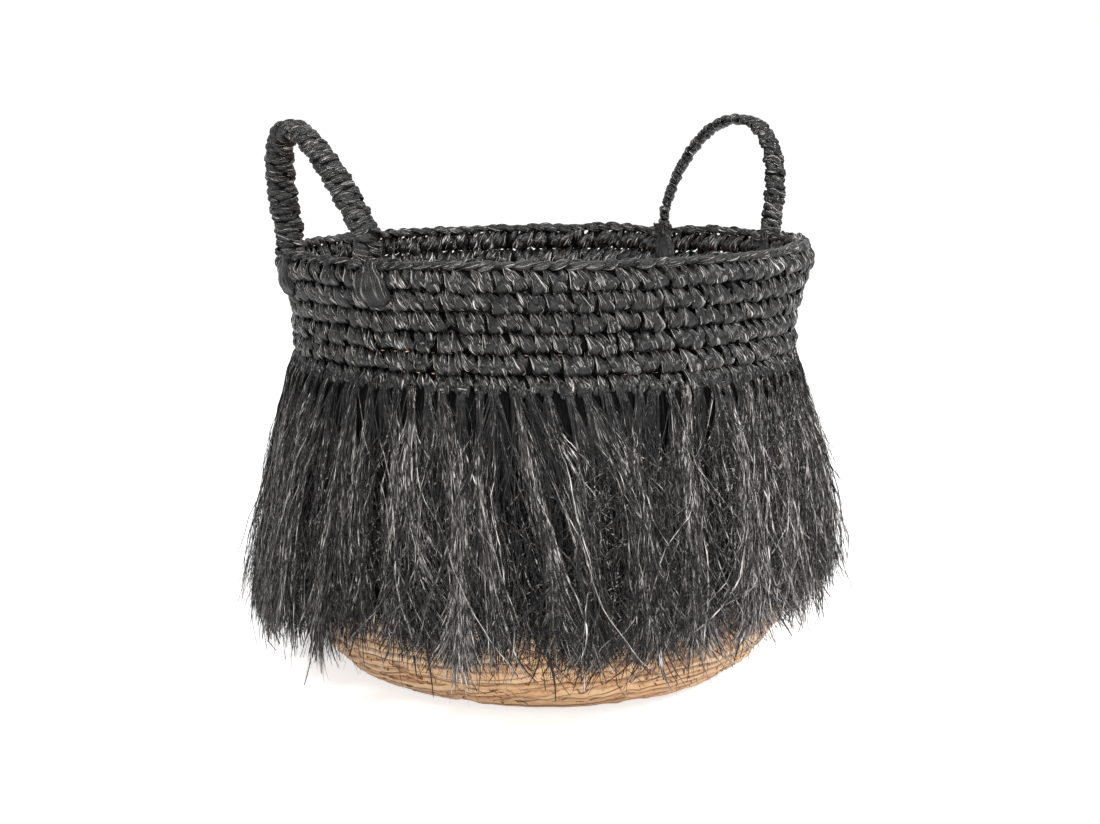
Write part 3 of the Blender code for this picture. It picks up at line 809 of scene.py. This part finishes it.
def make_rim(raffia):
    """The chain of loops on the last round. The two legs of each link are broad leaves that lap the next link."""
    dice = np.random.default_rng(SEEDS["rim"])
    count = STITCHES
    _, bell = draws(dice, count)
    share = np.linspace(0, 1, 12)[None]
    floor = NECK_TOP - 0.5 * MM
    bow = swell(share, 0.50)
    strands = Strands()
    for side in (1.0, -1.0):
        start = (np.arange(count) + (0.15 if side > 0 else 0.0))[:, None] * STITCH_ANGLE
        around = start + (-0.25 + bell(0.07) + (1.42 + bell(0.12)) * share) * STITCH_ANGLE
        out = (4.2 * MM + bell(0.8 * MM)) * bow ** 0.7 - 1.2 * MM
        height = floor + 2.2 * MM + (4.6 * MM + bell(0.6 * MM)) * share ** 1.1 - 1.0 * MM * bow + bell(0.4 * MM)
        height = height - 2.6 * MM * share ** 6
        width = 0.4 * MM + (2.8 * MM + bell(0.6 * MM)) * bow ** 0.9
        depth = 0.5 * MM + 1.2 * MM * bow
        outward = unit(side * outward_at(around) + 0.55 * UP)
        points = on_wall(around, CHAIN_RADIUS + side * out, height)
        tone = 0.1 + 0.35 * dice.random(count)
        strands.add(points, outward, width, depth, pleated(front=11), tone, bell(0.25))
        add_fibres(
            strands, CHAIN_FIBRES, points, outward, width, lambda place: domed(depth, place),
            (0.15, 0.20), (0.4, 0.8), 3, lambda: bell(1.0), 0.85, dice,
        )
    steps = 2 * count
    around = (np.arange(steps) / steps * TURN)[None]
    strands.add_round(around, CHAIN_RADIUS, floor + 3.6 * MM, 2.4 * MM, 2.2 * MM, oval(10), 0.0, closed=True)
    settle(strands.build("rim_chain", raffia, lifted=True), "rim_braid")


# Fringe

def fringe_outside(height):
    heights, radii = zip(*FRINGE_OUTSIDE[::-1])
    return np.interp(height, heights, radii)


def fringe_space(height, fan, outline):
    """Inner and outer radii of the space that the fringe fills."""
    radius, level, _ = outline
    bowl = np.interp(height, level[2:], radius[2:]) + ROPE_THICKNESS / 2
    bowl = np.where(height < BELLY_HEIGHT, BELLY_RADIUS, bowl) + 1.2 * MM
    outside = fringe_outside(height) - 1.0 * MM
    inside = np.maximum(bowl, outside - FRINGE_DEPTH * fan)
    inside = np.where(height > BOWL_TOP, neck_radius(height) + 1.2 * MM, inside)
    return np.minimum(inside, outside - 1.0 * MM), outside


def hem_height(angle):
    """The hem is cut in shallow waves. It hangs lowest in front and left of it, and highest at the right."""
    wave = HEM_RISE * np.sin(2 * (angle - FRONT_ANGLE)) ** 2
    wave = wave + HIGH_HEM * hump(angle, HIGH_HEM_ANGLE, HEM_REACH)
    return HEM_HEIGHT + wave - LOW_HEM * hump(angle, LOW_HEM_ANGLE, HEM_REACH)


def bushiness(angle):
    """1 where the fringe is most ruffled, on the photograph's right, and 0 well away from there."""
    return hump(angle, BUSHY_ANGLE, BUSHY_REACH)


def sweep(angle):
    """How far the fringe leans to one side as it falls, in tufts."""
    return SWEEP * hump(angle, SWEEP_ANGLE, SWEEP_REACH) + 0.9 * np.sin(9 * angle + 2.0) - 0.5


def leaning(share):
    """How much of its lean a strand has taken up."""
    return 1 - (1 - share) ** 1.5


def bends(share, count, dice):
    """A crumpled path for each of a number of strands: random turns at evenly spread places, straight between."""
    places = np.linspace(0, 1, BENDS)
    hats = np.clip(1 - np.abs(share - places[:, None]) * (BENDS - 1), 0, 1)
    return dice.normal(0, 1, (count, BENDS)) @ hats


def clump(around, share):
    """How far strands at an angle are drawn aside into a clump, and how proud of its neighbours the clump lies."""
    pull = smooth(share / 0.45)
    aside, proud = 0.0, 0.0
    source = around - sweep(around) * leaning(share) * TUFT_ANGLE
    for number, amount, rise in CLUMPS:
        turn = number * source + 2.0 * share * np.sin(4 * around + number) + 0.7 * np.sin(11 * source)
        aside = aside - pull * amount * np.sin(turn) / number
        proud = proud + pull * rise * np.cos(turn)
    return aside, proud


def tuft_backing(strands, angle, outline, dice):
    """Broad leaves of painted shade that lie against the bowl under a tuft, so that the gaps between strands read
    dark.
    """
    count = BACKING_PER_TUFT
    pick, bell = draws(dice, count)
    share = np.linspace(0, 1, 9)[None]
    place = ((np.arange(count) + 0.5) / count - 0.5)[:, None]
    top = NECK_FOOT + 4 * MM
    height = top - (top - hem_height(angle) - pick(1, 20) * MM) * share
    inside, _ = fringe_space(height, smooth(share / 0.4), outline)
    radius = inside + (0.3 + 0.8 * pick()) * MM
    around = angle + (place * 1.1 + bell(0.08) * share) * TUFT_ANGLE
    width = 1.1 * MM * np.clip((1 - share) / 0.2, 0.1, 1)
    strands.add_round(around, radius, height, width, 0.35 * MM, oval(4), 0.15 * dice.random(count))


def tuft_locks(lean, dice):
    """For each lock of a tuft, where it starts and how it lies.

    Rows: start, and how far it drifts and bows aside, in tufts; its level, from the bowl's side to the outside;
    how broadly it spreads, how much of that it loses low down, how much longer it is, and how pale.
    """
    locks = LOCKS_PER_TUFT
    start = dice.permutation(np.linspace(-0.10, 0.10, locks))
    level = dice.permutation(np.linspace(0.08, 0.88, locks)) + dice.normal(0, 0.08, locks)
    drift = lean * (1.5 * level - 0.75) + dice.permutation(np.linspace(-0.8, 0.8, locks))
    drift = drift + dice.normal(0, 0.5, locks)
    bow = dice.normal(0, 0.5, locks)
    spread = dice.uniform(0.6, 1.2, locks)
    ending = dice.normal(0, 0.8, locks)
    gather = dice.uniform(0.0, 0.40, locks)
    shine = dice.normal(0.0, 0.22, locks)
    return np.stack([start, drift, bow, level, spread, gather, ending, shine])


def tuft_strands(strands, angle, lean, outline, dice):
    """One tuft: locks of hairs and ribbons that leave a knot together, lean over their neighbours and part."""
    locks = tuft_locks(lean, dice)
    knot = NECK_FOOT + KNOT_HEIGHT
    hem = hem_height(angle)
    ruffled = bushiness(angle)
    for flat, count, stations in (
        (False, HAIRS_PER_TUFT, HAIR_STATIONS), (True, RIBBONS_PER_TUFT, RIBBON_STATIONS),
    ):
        pick, bell = draws(dice, count)
        share = np.linspace(0, 1, stations)[None]
        mine = locks[:, dice.integers(0, LOCKS_PER_TUFT, count), None]
        start, drift, bow, level, spread, gather, ending, shine = mine
        chance = pick()
        loose, stray, flyaway = (chance < calm + more * ruffled for calm, more in (LOOSE, STRAY, FLYAWAY))

        # Where each strand ends
        tip = hem + HEM_RAGGEDNESS * (bell(1.0) + ending + 0.35 * np.sin(9 * angle + 1))
        tip = np.where(pick() < 0.10, hem + pick(10 * MM, 90 * MM), tip)
        tip = np.where(pick() < 0.04, tip - pick(4 * MM, 16 * MM), tip)
        height = knot + (np.maximum(tip, LOWEST_TIP) - knot) * share

        # Its path round the basket
        fan = smooth((share - 0.04) / 0.36)
        closing = 1 - gather * smooth((share - 0.45) / 0.55)
        lock_width = (0.05 + 0.23 * fan) * spread * closing
        offset = (bell(1.0) + 0.6 * bell(1.0) * np.sin(share * pick(2, 5) + pick(0, TURN))) * lock_width
        path = start + 0.9 * lean * leaning(share) + drift * share ** 1.3
        path = path + bow * np.sin(math.pi * share) * smooth(share / 0.3)
        crumple = bends(share, count, dice) * np.where(loose, 0.08, 0.012) * fan
        strewn = (np.where(loose, bell(0.8), 0) + np.where(stray, bell(2.4), 0)) * share
        frizz = share ** 3 * (bell(0.36) + np.where(loose, bell(0.9), 0)) + share ** 8 * bell(0.6)
        around = angle + (path + offset + strewn) * TUFT_ANGLE
        aside, proud = clump(around, share)
        around = around + aside * np.where(loose, 0.4, 1.0) + (crumple + frizz * (1 + ruffled)) * TUFT_ANGLE

        # Its distance from the axis
        layer = level + bell(0.15) * closing + proud
        layer = np.where(loose, pick(0.75, 1.1), layer)
        layer = np.clip(layer * (0.40 + 0.60 * fan), 0.0, 1.12)
        inside, outside = fringe_space(height, smooth(share / 0.5), outline)
        radius = inside + (outside - inside) * layer
        radius = radius + bends(share, count, dice) * np.where(loose, 0.6 + 0.9 * stray, 0.2) * MM * fan
        radius = radius + np.where(stray, pick(0.5, 3.0) * MM, 0) * fan + bell(2.2) * MM * share ** 5
        radius = radius + np.where(flyaway, pick(2.0, 15.0) * MM, 0) * share ** 1.5
        radius = np.clip(radius, inside, FRINGE_REACH) + 0.9 * MM * (1 - fan)

        # Its width, twist and tone; the tone paints shade deep in the fringe and in the valleys between clumps,
        # and light on their crests
        if flat:
            broad = (0.28 + 0.74 * pick() ** 1.8) * np.where(loose, 0.6, 1.0) * MM
        else:
            broad = 0.16 * MM + 0.22 * MM * pick() ** 1.5
        taper = np.clip((1.02 - share) / 0.12, 0.3, 1.0) ** 0.7
        pinch = np.clip(1 + 0.12 * bends(share, count, dice), 0.6, 1.4)
        twist = bell(1.2) * share + bell(0.5) + 0.20 * bends(share, count, dice)
        # Painted shade and light: deeper strands are darker, and strands on a clump's crest paler than those in
        # its valleys. The tone is also darker near the knot and a little paler towards the tip.
        tone = pick() ** 1.6 * 0.62 + shine + 0.42 * (layer - 0.65) + 0.235 + 0.22 * ruffled
        tone = tone + 0.26 * proud - 0.09 * (1 - smooth((share - 0.02) / 0.40)) + 0.06 * share
        tone = tone - np.where(loose, 0.22, 0)
        tone = np.minimum(tone - 0.34 * np.clip(broad / MM - 0.45, 0, 1), 0.95)
        looks = broad * taper * pinch, 0.6 * broad * taper, STRIP if flat else oval(3), tone, twist
        strands.add_round(around, radius, height, *looks, flat=flat)


def add_wisps(strands, angle, scatter, radius, height, broad, tone, share, pick):
    """Thin strands that taper and turn about their own length, scattered over some tufts on either side."""
    width = (0.18 + broad * pick() ** 2) * MM * np.clip((1.05 - share) / 0.3, 0.4, 1)
    points = on_wall(angle + pick(-scatter, scatter) * TUFT_ANGLE, radius, height)
    looks = width, 0.5 * width, oval(3), pick(*tone)[:, 0], pick(0, math.pi) + pick(-4, 4) * share
    strands.add(points, outward_at(angle), *looks)


def whiskers(strands, angle, outline, dice):
    """Broken ends that stand across the lower half of a tuft."""
    count = round(WHISKERS_PER_TUFT * (1 + 3.2 * bushiness(angle)))
    pick, _ = draws(dice, count)
    share = np.linspace(0, 1, 9)[None]
    slant = np.radians(pick(-78, 78))
    length = pick(18, 65) * MM
    low = hem_height(angle) + pick() ** 2 * 110 * MM
    height = low + length * np.cos(slant) * (1 - share)
    swerve = length * np.sin(slant) * share + 1.2 * MM * bends(share, count, dice) * share
    _, outside = fringe_space(height, 1.0, outline)
    radius = np.minimum(outside + (pick(-1.5, 1.0) + pick(0.0, 5.0) * share) * MM, FRINGE_REACH)
    around = angle + swerve / fringe_outside(height)
    add_wisps(strands, around, 0.6, radius, height, 0.36, (0.1, 0.75), share, pick)


def spray(strands, angle, outline, dice):
    """A few strands that leave the mass together and stand out from it, bowing as they fall."""
    count = int(dice.integers(3, 8))
    pick, bell = draws(dice, count)
    share = np.linspace(0, 1, 12)[None]
    start = hem_height(angle) + (35 + 75 * dice.random() + pick(-8, 8)) * MM
    length = dice.uniform(40, 70) * MM * pick(0.7, 1.1)
    slant = dice.uniform(-0.9, 0.9) + bell(0.16)
    height = np.maximum(start - length * np.cos(slant) * share, LOWEST_TIP + 2 * MM)
    swerve = length * np.sin(slant) * share ** 1.3 + 1.5 * MM * bends(share, count, dice) * share
    _, outside = fringe_space(height, 1.0, outline)
    lift = dice.uniform(3, 14) * MM * pick(0.6, 1.2) * np.sin(share * pick(1.2, 2.6))
    radius = np.minimum(outside - 1.5 * MM + lift, FRINGE_REACH)
    add_wisps(strands, angle + swerve / BELLY_RADIUS, 0.25, radius, height, 0.30, (0.0, 0.5), share, pick)


def tuft_knots(strands, angle, dice):
    """The hitches that tie tufts to the neck's foot: two legs over the last round and a band across them."""
    count = len(angle)
    _, bell = draws(dice, count)
    share = np.linspace(0, 1, 9)[None]
    full = np.sin(math.pi * share)

    def add_yarn(around, height, lift, proud, fulness, least):
        radius = neck_radius(height) + lift + (proud + bell(0.4 * MM)) * full ** fulness
        width = least + (1.5 * MM + bell(0.2 * MM)) * full
        tone = 0.6 * dice.random(count)
        looks = width, least + 0.8 * MM * full, pleated(pleats=2.5), tone, bell(0.2)
        strands.add_round(around, radius, height, *looks)

    for start, end in ((-0.30, -0.10), (0.30, 0.10)):
        around = angle[:, None] + (start + (end - start) * share + bell(0.05)) * TUFT_ANGLE
        height = NECK_FOOT + 10.5 * MM + bell(0.7 * MM) - (12.5 * MM + bell(0.8 * MM)) * share
        add_yarn(around, height, 0.2 * MM, 2.6 * MM, 0.7, 0.7 * MM)
    around = angle[:, None] + (-0.42 + 0.84 * share) * TUFT_ANGLE
    height = NECK_FOOT + 4.2 * MM + bell(0.6 * MM) + bell(0.7 * MM) * (share - 0.5)
    add_yarn(around, height, 0.4 * MM, 3.2 * MM, 0.6, 0.6 * MM)


def make_fringe(strand_raffia, raffia, shade):
    dice = np.random.default_rng(SEEDS["fringe"])
    outline = rope_outline()
    angles = (np.arange(TUFTS) + 0.5 + dice.uniform(-0.16, 0.16, TUFTS)) * TUFT_ANGLE
    backing = Strands()
    for number, bunch in enumerate(angles.reshape(-1, TUFTS_PER_BUNCH), 1):
        strands = Strands()
        for angle in bunch:
            lean = float(sweep(angle)) + dice.normal(0, 0.5)
            tuft_backing(backing, angle, outline, dice)
            tuft_strands(strands, angle, lean, outline, dice)
            whiskers(strands, angle, outline, dice)
            for _ in range(dice.binomial(2, SPRAY_SHARE + 0.35 * bushiness(angle))):
                spray(strands, angle, outline, dice)
        tufts = strands.build(f"raffia_bunch_{number:02d}", strand_raffia, columns=strands.strands)
        settle(tufts, f"fringe_bunch_{number:02d}")
    knots = Strands()
    tuft_knots(knots, angles, dice)
    settle(knots.build("raffia_knots", raffia))
    # The backing is painted shade: a near-black sheet where the fringe's gaps should look dark.
    settle(backing.build("raffia_shade_backing", shade))


# Handles

def handle_frame(side):
    """Origin, along, through and up directions of a handle's arch, from its hinge."""
    hinge = HINGES[f"handle_{side}"]
    along = np.array(hinge["axis"])
    up = UP * math.cos(HANDLE_LEAN) + np.cross(along, UP) * math.sin(HANDLE_LEAN)
    return np.array(hinge["pos_m"]), along, np.cross(up, along), up


def arch_points(side, count):
    """Evenly spaced points along the arch, with the legs carried down to the rim."""
    reach = (RIM_RADIUS - FOOT_INSET) * math.sin(FOOT_ANGLE[side])
    share = np.linspace(0, 1, 600)
    climb = np.maximum(np.sin(math.pi * share), 0.0) ** CROWN_POINTEDNESS[side]
    x = signed_power(-np.cos(math.pi * share), CROWN_SQUARENESS[side]) + CROWN_SKEW[side] * climb
    origin, along, _, up = handle_frame(side)
    arch = origin + reach * x[:, None] * along + HANDLE_RISE[side] * climb[:, None] * up
    drop = UP * (RIM_TOP - 5 * MM - origin[2])
    steps = np.linspace(1, 0, 20)[:-1, None]
    arch = np.concatenate([arch[0] + drop * steps, arch, arch[-1] + drop * steps[::-1]])
    run = np.concatenate([[0.0], np.cumsum(np.linalg.norm(np.diff(arch, axis=0), axis=1))])
    even = np.linspace(0, run[-1], count)
    return np.stack([np.interp(even, run, arch[:, axis]) for axis in range(3)], -1), run[-1]


def strap_turn(side, share):
    """How far the strap is turned about its own length, which shows it flat at one foot and on edge at another."""
    first, crown, last = np.radians(GRIP_TURN[side])
    rising = first + (crown - first) * smooth(2 * share)
    return np.where(share < 0.5, rising, crown + (last - crown) * smooth(2 * share - 1))


def make_handle(side, raffia, shade):
    """A rope arch in a crochet sleeve: rings of small slanting stitches that lap one another."""
    dice = np.random.default_rng(SEEDS[f"handle_{side}"])
    origin, _, through, up = handle_frame(side)
    centres, length = arch_points(side, ARCH_POINTS)
    tangents = unit(np.gradient(centres, axis=0))
    runs = np.linspace(0, length, ARCH_POINTS)

    def follow(run, values):
        return np.stack([np.interp(run, runs, values[:, axis]) for axis in range(3)], -1)

    pitch = length / WRAP_TURNS
    step = TURN / WRAP_STITCHES
    row, column = np.divmod(np.arange(WRAP_TURNS * WRAP_STITCHES), WRAP_STITCHES)
    count = len(row)
    _, bell = draws(dice, count)
    share = np.linspace(0, 1, 9)[None]
    full = swell(share, 0.55)
    around = (column + 0.37 * row)[:, None] * step + (-0.66 + 1.32 * share + bell(0.08)) * step
    run = (row[:, None] + 0.5 + (0.55 + bell(0.25)) * (share - 0.5) + bell(0.08)) * pitch
    run = np.clip(run, 0.3 * MM, length - 0.3 * MM)
    size = 1 + 0.03 * np.sin(row * 2.4)[:, None]
    lift = -0.5 * MM + (0.75 * MM + bell(0.25 * MM)) * full - 1.3 * MM
    tangent = unit(follow(run, tangents))
    normal = unit(np.cross(tangent, through))
    wide, normal = turned(unit(np.cross(normal, tangent)), normal, strap_turn(side, run / length)[..., None])
    thick_reach, wide_reach = GRIP_THICKNESS[side] / 2 * size + lift, GRIP_WIDTH[side] / 2 * size + lift
    points = follow(run, centres) + normal * (thick_reach * np.cos(around))[..., None]
    points = points + wide * (wide_reach * np.sin(around))[..., None]
    out = normal * (np.cos(around) / thick_reach)[..., None] + wide * (np.sin(around) / wide_reach)[..., None]
    out = unit(out)
    width = 0.4 * MM + (0.50 * pitch + bell(0.2 * MM)) * full ** 0.6
    depth = 0.5 * MM + 1.2 * MM * full
    strands = Strands()
    strands.add(points, out, width, depth, pleated(front=11), 0.1 + 0.35 * dice.random(count), bell(0.2))
    add_fibres(
        strands, WRAP_FIBRES, points, out, width, lambda place: domed(depth, place),
        (0.14, 0.18), (0.3, 0.8), 4, lambda: bell(1.0), 0.9, dice,
    )
    wrap = strands.build(f"handle_{side}_wrap", raffia)
    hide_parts(f"handle_{side}_whipping")

    # The rope under the sleeve is painted shade: it darkens the gaps between the stitches
    path, _ = arch_points(side, 90)
    turn = -strap_turn(side, np.linspace(0, 1, len(path)))
    core = Strands()
    core.add(
        path[None], np.broadcast_to(through, path[None].shape),
        GRIP_THICKNESS[side] / 2 - WRAP_SINK, GRIP_WIDTH[side] / 2 - WRAP_SINK, oval(14), 0.1, turn[None],
    )
    rope = core.build(f"handle_{side}_rope", shade)
    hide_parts(f"handle_{side}_core")
    low = np.array([*origin[:2], RIM_TOP])
    for piece, slot in ((wrap, "black_raffia"), (rope, "core_rope")):
        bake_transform(piece)


def add_pad_strands(strands, angle, face, layer, dice):
    """One layer of a pad, on the neck's outer face, 1, or inner face, -1: strands that fan out below the rim."""
    count, wide = PAD_LAYERS[layer]
    pick, bell = draws(dice, count)
    share = np.linspace(0, 1, 18)[None]
    place = np.linspace(-1, 1, count)[:, None] + bell(0.05)
    low = RIM_TOP - 7 * MM - PAD_LENGTH * np.sqrt(1.06 - 0.30 * place ** 2)
    top = RIM_TOP + 2 * MM - 7 * MM * place ** 2
    height = top + (low - top) * share
    below = np.clip((RIM_TOP - 5 * MM - height) / PAD_LENGTH, 0, 1)
    full = swell(below * 0.93, 0.70)
    cushion = np.sqrt(np.clip(1 - 0.75 * place ** 2, 0, 1))
    radius = neck_radius(height) - (NECK_THICKNESS if face < 0 else 0.0)
    radius = radius + face * (1.6 * MM + (3.2 + 1.1 * layer) * MM * full * cushion)
    over = CHAIN_RADIUS + face * (6.0 + 0.8 * layer) * MM * cushion
    radius = radius + (over - radius) * smooth((height - (RIM_TOP - 12 * MM)) / (8 * MM))
    spread = (4.0 * MM + 6.2 * MM * smooth(below / 0.45)) * (1.0 if face > 0 else 0.66)
    around = angle + (face * 2.5 * MM + place * spread + 7.0 * MM * below * face) / RIM_RADIUS
    width = wide * (0.75 + 0.65 * full) * np.clip((1.02 - share) / 0.06, 0.25, 1.0)
    points, outward = on_wall(around, radius, height), face * outward_at(around)
    tone = 0.25 * dice.random(count)
    strands.add(points, outward, width, 1.0 * MM, pleated(front=7, back=3), tone, bell(0.25))
    add_fibres(
        strands, 2, points, outward, width, lambda across: np.full_like(across, 0.9 * MM),
        (0.12, 0.16), (0.3, 0.7), 4, pick, 0.8, dice,
    )


def add_tangle(strands, angle, dice):
    """The tangle of strands that winds about a foot where it meets the rim."""
    count = TANGLE_STRANDS
    pick, _ = draws(dice, count)
    share = np.linspace(0, 1, 12)[None]
    turn = pick(0, TURN) + (share - 0.5) * pick(1.6, 3.6)
    wide, deep = pick(4.8, 7.6) * MM, pick(4.6, 6.6) * MM
    height = RIM_TOP + pick(-7.5, -1.0) * MM + (share - 0.5) * pick(-6, 6) * MM
    points = on_wall(angle + wide * np.cos(turn) / CHAIN_RADIUS, CHAIN_RADIUS + deep * np.sin(turn), height)
    away, along = outward_at(angle), outward_at(angle + TURN / 4)
    outward = away * np.sin(turn)[..., None] + along * np.cos(turn)[..., None]
    full = swell(share, 0.5)
    width = (0.35 + pick(0.3, 1.3) * full) * MM
    looks = width, (0.3 + 0.5 * full) * MM, pleated(front=7, back=3), 0.1 + 0.5 * dice.random(count)
    strands.add(points, outward, *looks, pick(-0.4, 0.4), run=2.0)


def make_lashings(side, raffia):
    """The bundles of raffia that tie a handle's feet down: each comes over the rim and fans out into a pad."""
    dice = np.random.default_rng(SEEDS[f"lashing_{side}"])
    for end in ENDS:
        angle = foot_angle(side, end)
        strands = Strands()
        for face in (1.0, -1.0):
            for layer in range(len(PAD_LAYERS)):
                add_pad_strands(strands, angle, face, layer, dice)
        add_tangle(strands, angle, dice)
        pad = strands.build(f"lashing_pad_{side}_{end}", raffia, lifted=True)
        settle(pad, f"lashing_{side}_{end}")


# Stage

def make_floor():
    """A plain pale floor that keeps the object's shadow, and is a little paler far away."""
    mesh = bpy.data.meshes.new("studio_floor")
    corners = [(x * FLOOR_REACH, y * FLOOR_REACH, 0) for x, y in ((-1, -1), (1, -1), (1, 1), (-1, 1))]
    mesh.from_pydata(corners, [], [(0, 1, 2, 3)])
    floor = add_object("studio_floor", mesh)
    made, nodes, shader = new_material("pale_floor")
    nodes.tree.nodes.remove(shader)
    paint = nodes.add("BsdfDiffuse", {"Color": (0.86, 0.86, 0.86, 1.0)})
    away = nodes.add("VectorMath", {0: nodes.add("TexCoord").outputs["Object"]}, operation="LENGTH")
    limits = {"From Min": 0.6, "From Max": 3.0, "To Min": 0.72, "To Max": 0.95}
    paler = nodes.add("MapRange", {"Value": away.outputs["Value"], **limits}).outputs["Result"]
    glow = nodes.add("Emission", {"Strength": nodes.math("MULTIPLY", nodes.backdrop_rays(), paler)})
    total = nodes.add("AddShader", {0: paint.outputs["BSDF"], 1: glow.outputs["Emission"]})
    nodes.feed(nodes.tree.nodes["Material Output"].inputs["Surface"], total.outputs["Shader"])
    mesh.materials.append(made)


def make_world():
    """A pale backdrop that lights the basket more softly than it looks."""
    world = bpy.data.worlds.new("studio")
    bpy.context.scene.world = world
    world.use_nodes = True
    nodes = Nodes(world.node_tree)
    background = world.node_tree.nodes["Background"]
    background.inputs["Color"].default_value = (1.0, 1.0, 1.0, 1.0)
    level = nodes.add("MapRange", {"Value": nodes.backdrop_rays(), "To Min": WORLD_LIGHT, "To Max": 1.0})
    nodes.feed(background.inputs["Strength"], level.outputs["Result"])


def add_light(name, azimuth, elevation, distance, size, power):
    """A square soft light that faces the basket. Azimuth 0 is the camera's own side, and 90 is to its right."""
    data = bpy.data.lights.new(name, "AREA")
    data.size = size
    data.energy = power
    lamp = add_object(name, data)
    turn = CAMERA_AZIMUTH + math.radians(azimuth)
    rise = math.radians(elevation)
    towards = Vector((math.sin(turn) * math.cos(rise), -math.cos(turn) * math.cos(rise), math.sin(rise)))
    lamp.location = towards * distance + LIGHTS_AIM
    lamp.rotation_euler = towards.to_track_quat("Z", "Y").to_euler()


def make_camera():
    data = bpy.data.cameras.new("camera")
    data.sensor_width = SENSOR_WIDTH
    data.lens = FOCAL_PIXELS / PHOTO_WIDTH * SENSOR_WIDTH
    camera = add_object("camera", data)
    camera.location = (
        CAMERA_DISTANCE * math.sin(CAMERA_AZIMUTH),
        -CAMERA_DISTANCE * math.cos(CAMERA_AZIMUTH),
        CAMERA_HEIGHT,
    )
    heading = CAMERA_AZIMUTH - CAMERA_YAW
    look = Vector((
        -math.sin(heading) * math.cos(CAMERA_PITCH),
        math.cos(heading) * math.cos(CAMERA_PITCH),
        -math.sin(CAMERA_PITCH),
    ))
    camera.rotation_euler = look.to_track_quat("-Z", "Y").to_euler()
    bpy.context.scene.camera = camera


def main():
    bark = bark_material("bark")
    grass = raffia_material(
        "dark_grass", dark=(0.08, 0.028, 0.012), middle=(0.26, 0.105, 0.045), pale=(0.50, 0.26, 0.12),
        grain=(3.0, 4.0), relief=0.5 * MM, tone_share=0.7, rough=(0.35, 0.6), specular=0.3,
    )
    raffia = raffia_material(
        "raffia", dark=(0.003, 0.003, 0.003), middle=(0.014, 0.013, 0.013), pale=(0.50, 0.48, 0.46),
        grain=(5.0, 1.2), relief=1.6 * MM, tone_share=0.30, rough=(0.16, 0.34), specular=0.24,
    )
    leaf_raffia = raffia_material(
        "raffia_leaf", dark=(0.003, 0.003, 0.003), middle=(0.012, 0.011, 0.011), pale=(0.80, 0.77, 0.74),
        grain=(15.0, 1.3), relief=1.0 * MM, tone_share=0.26, rough=(0.16, 0.34), specular=0.29,
    )
    strand_raffia = raffia_material(
        "raffia_strand", dark=(0.003, 0.003, 0.003), middle=(0.016, 0.014, 0.014), pale=(0.74, 0.69, 0.66),
        grain=(2.0, 17.0), relief=1.6 * MM, tone_share=0.24, rough=(0.16, 0.36), specular=0.34,
    )
    # Painted shade: a near-black raffia for the cores and the backing, put where only shade should show
    shade = raffia_material(
        "raffia_painted_shade", dark=(0.001, 0.001, 0.001), middle=(0.002, 0.002, 0.002), pale=(0.008, 0.008, 0.008),
        grain=(3.0, 60.0), relief=0.6 * MM, tone_share=0.1, rough=(0.5, 0.7), specular=0.06,
    )
    make_bowl(bark, grass)
    make_neck(leaf_raffia, shade)
    make_rim(leaf_raffia)
    make_fringe(strand_raffia, raffia, shade)
    for side in SIDES:
        make_handle(side, leaf_raffia, shade)
        make_lashings(side, leaf_raffia)
    make_floor()
    make_world()
    for name, settings in LIGHTS.items():
        add_light(name, *settings)
    make_camera()
    bpy.context.scene.view_settings.view_transform = "Standard"


main()
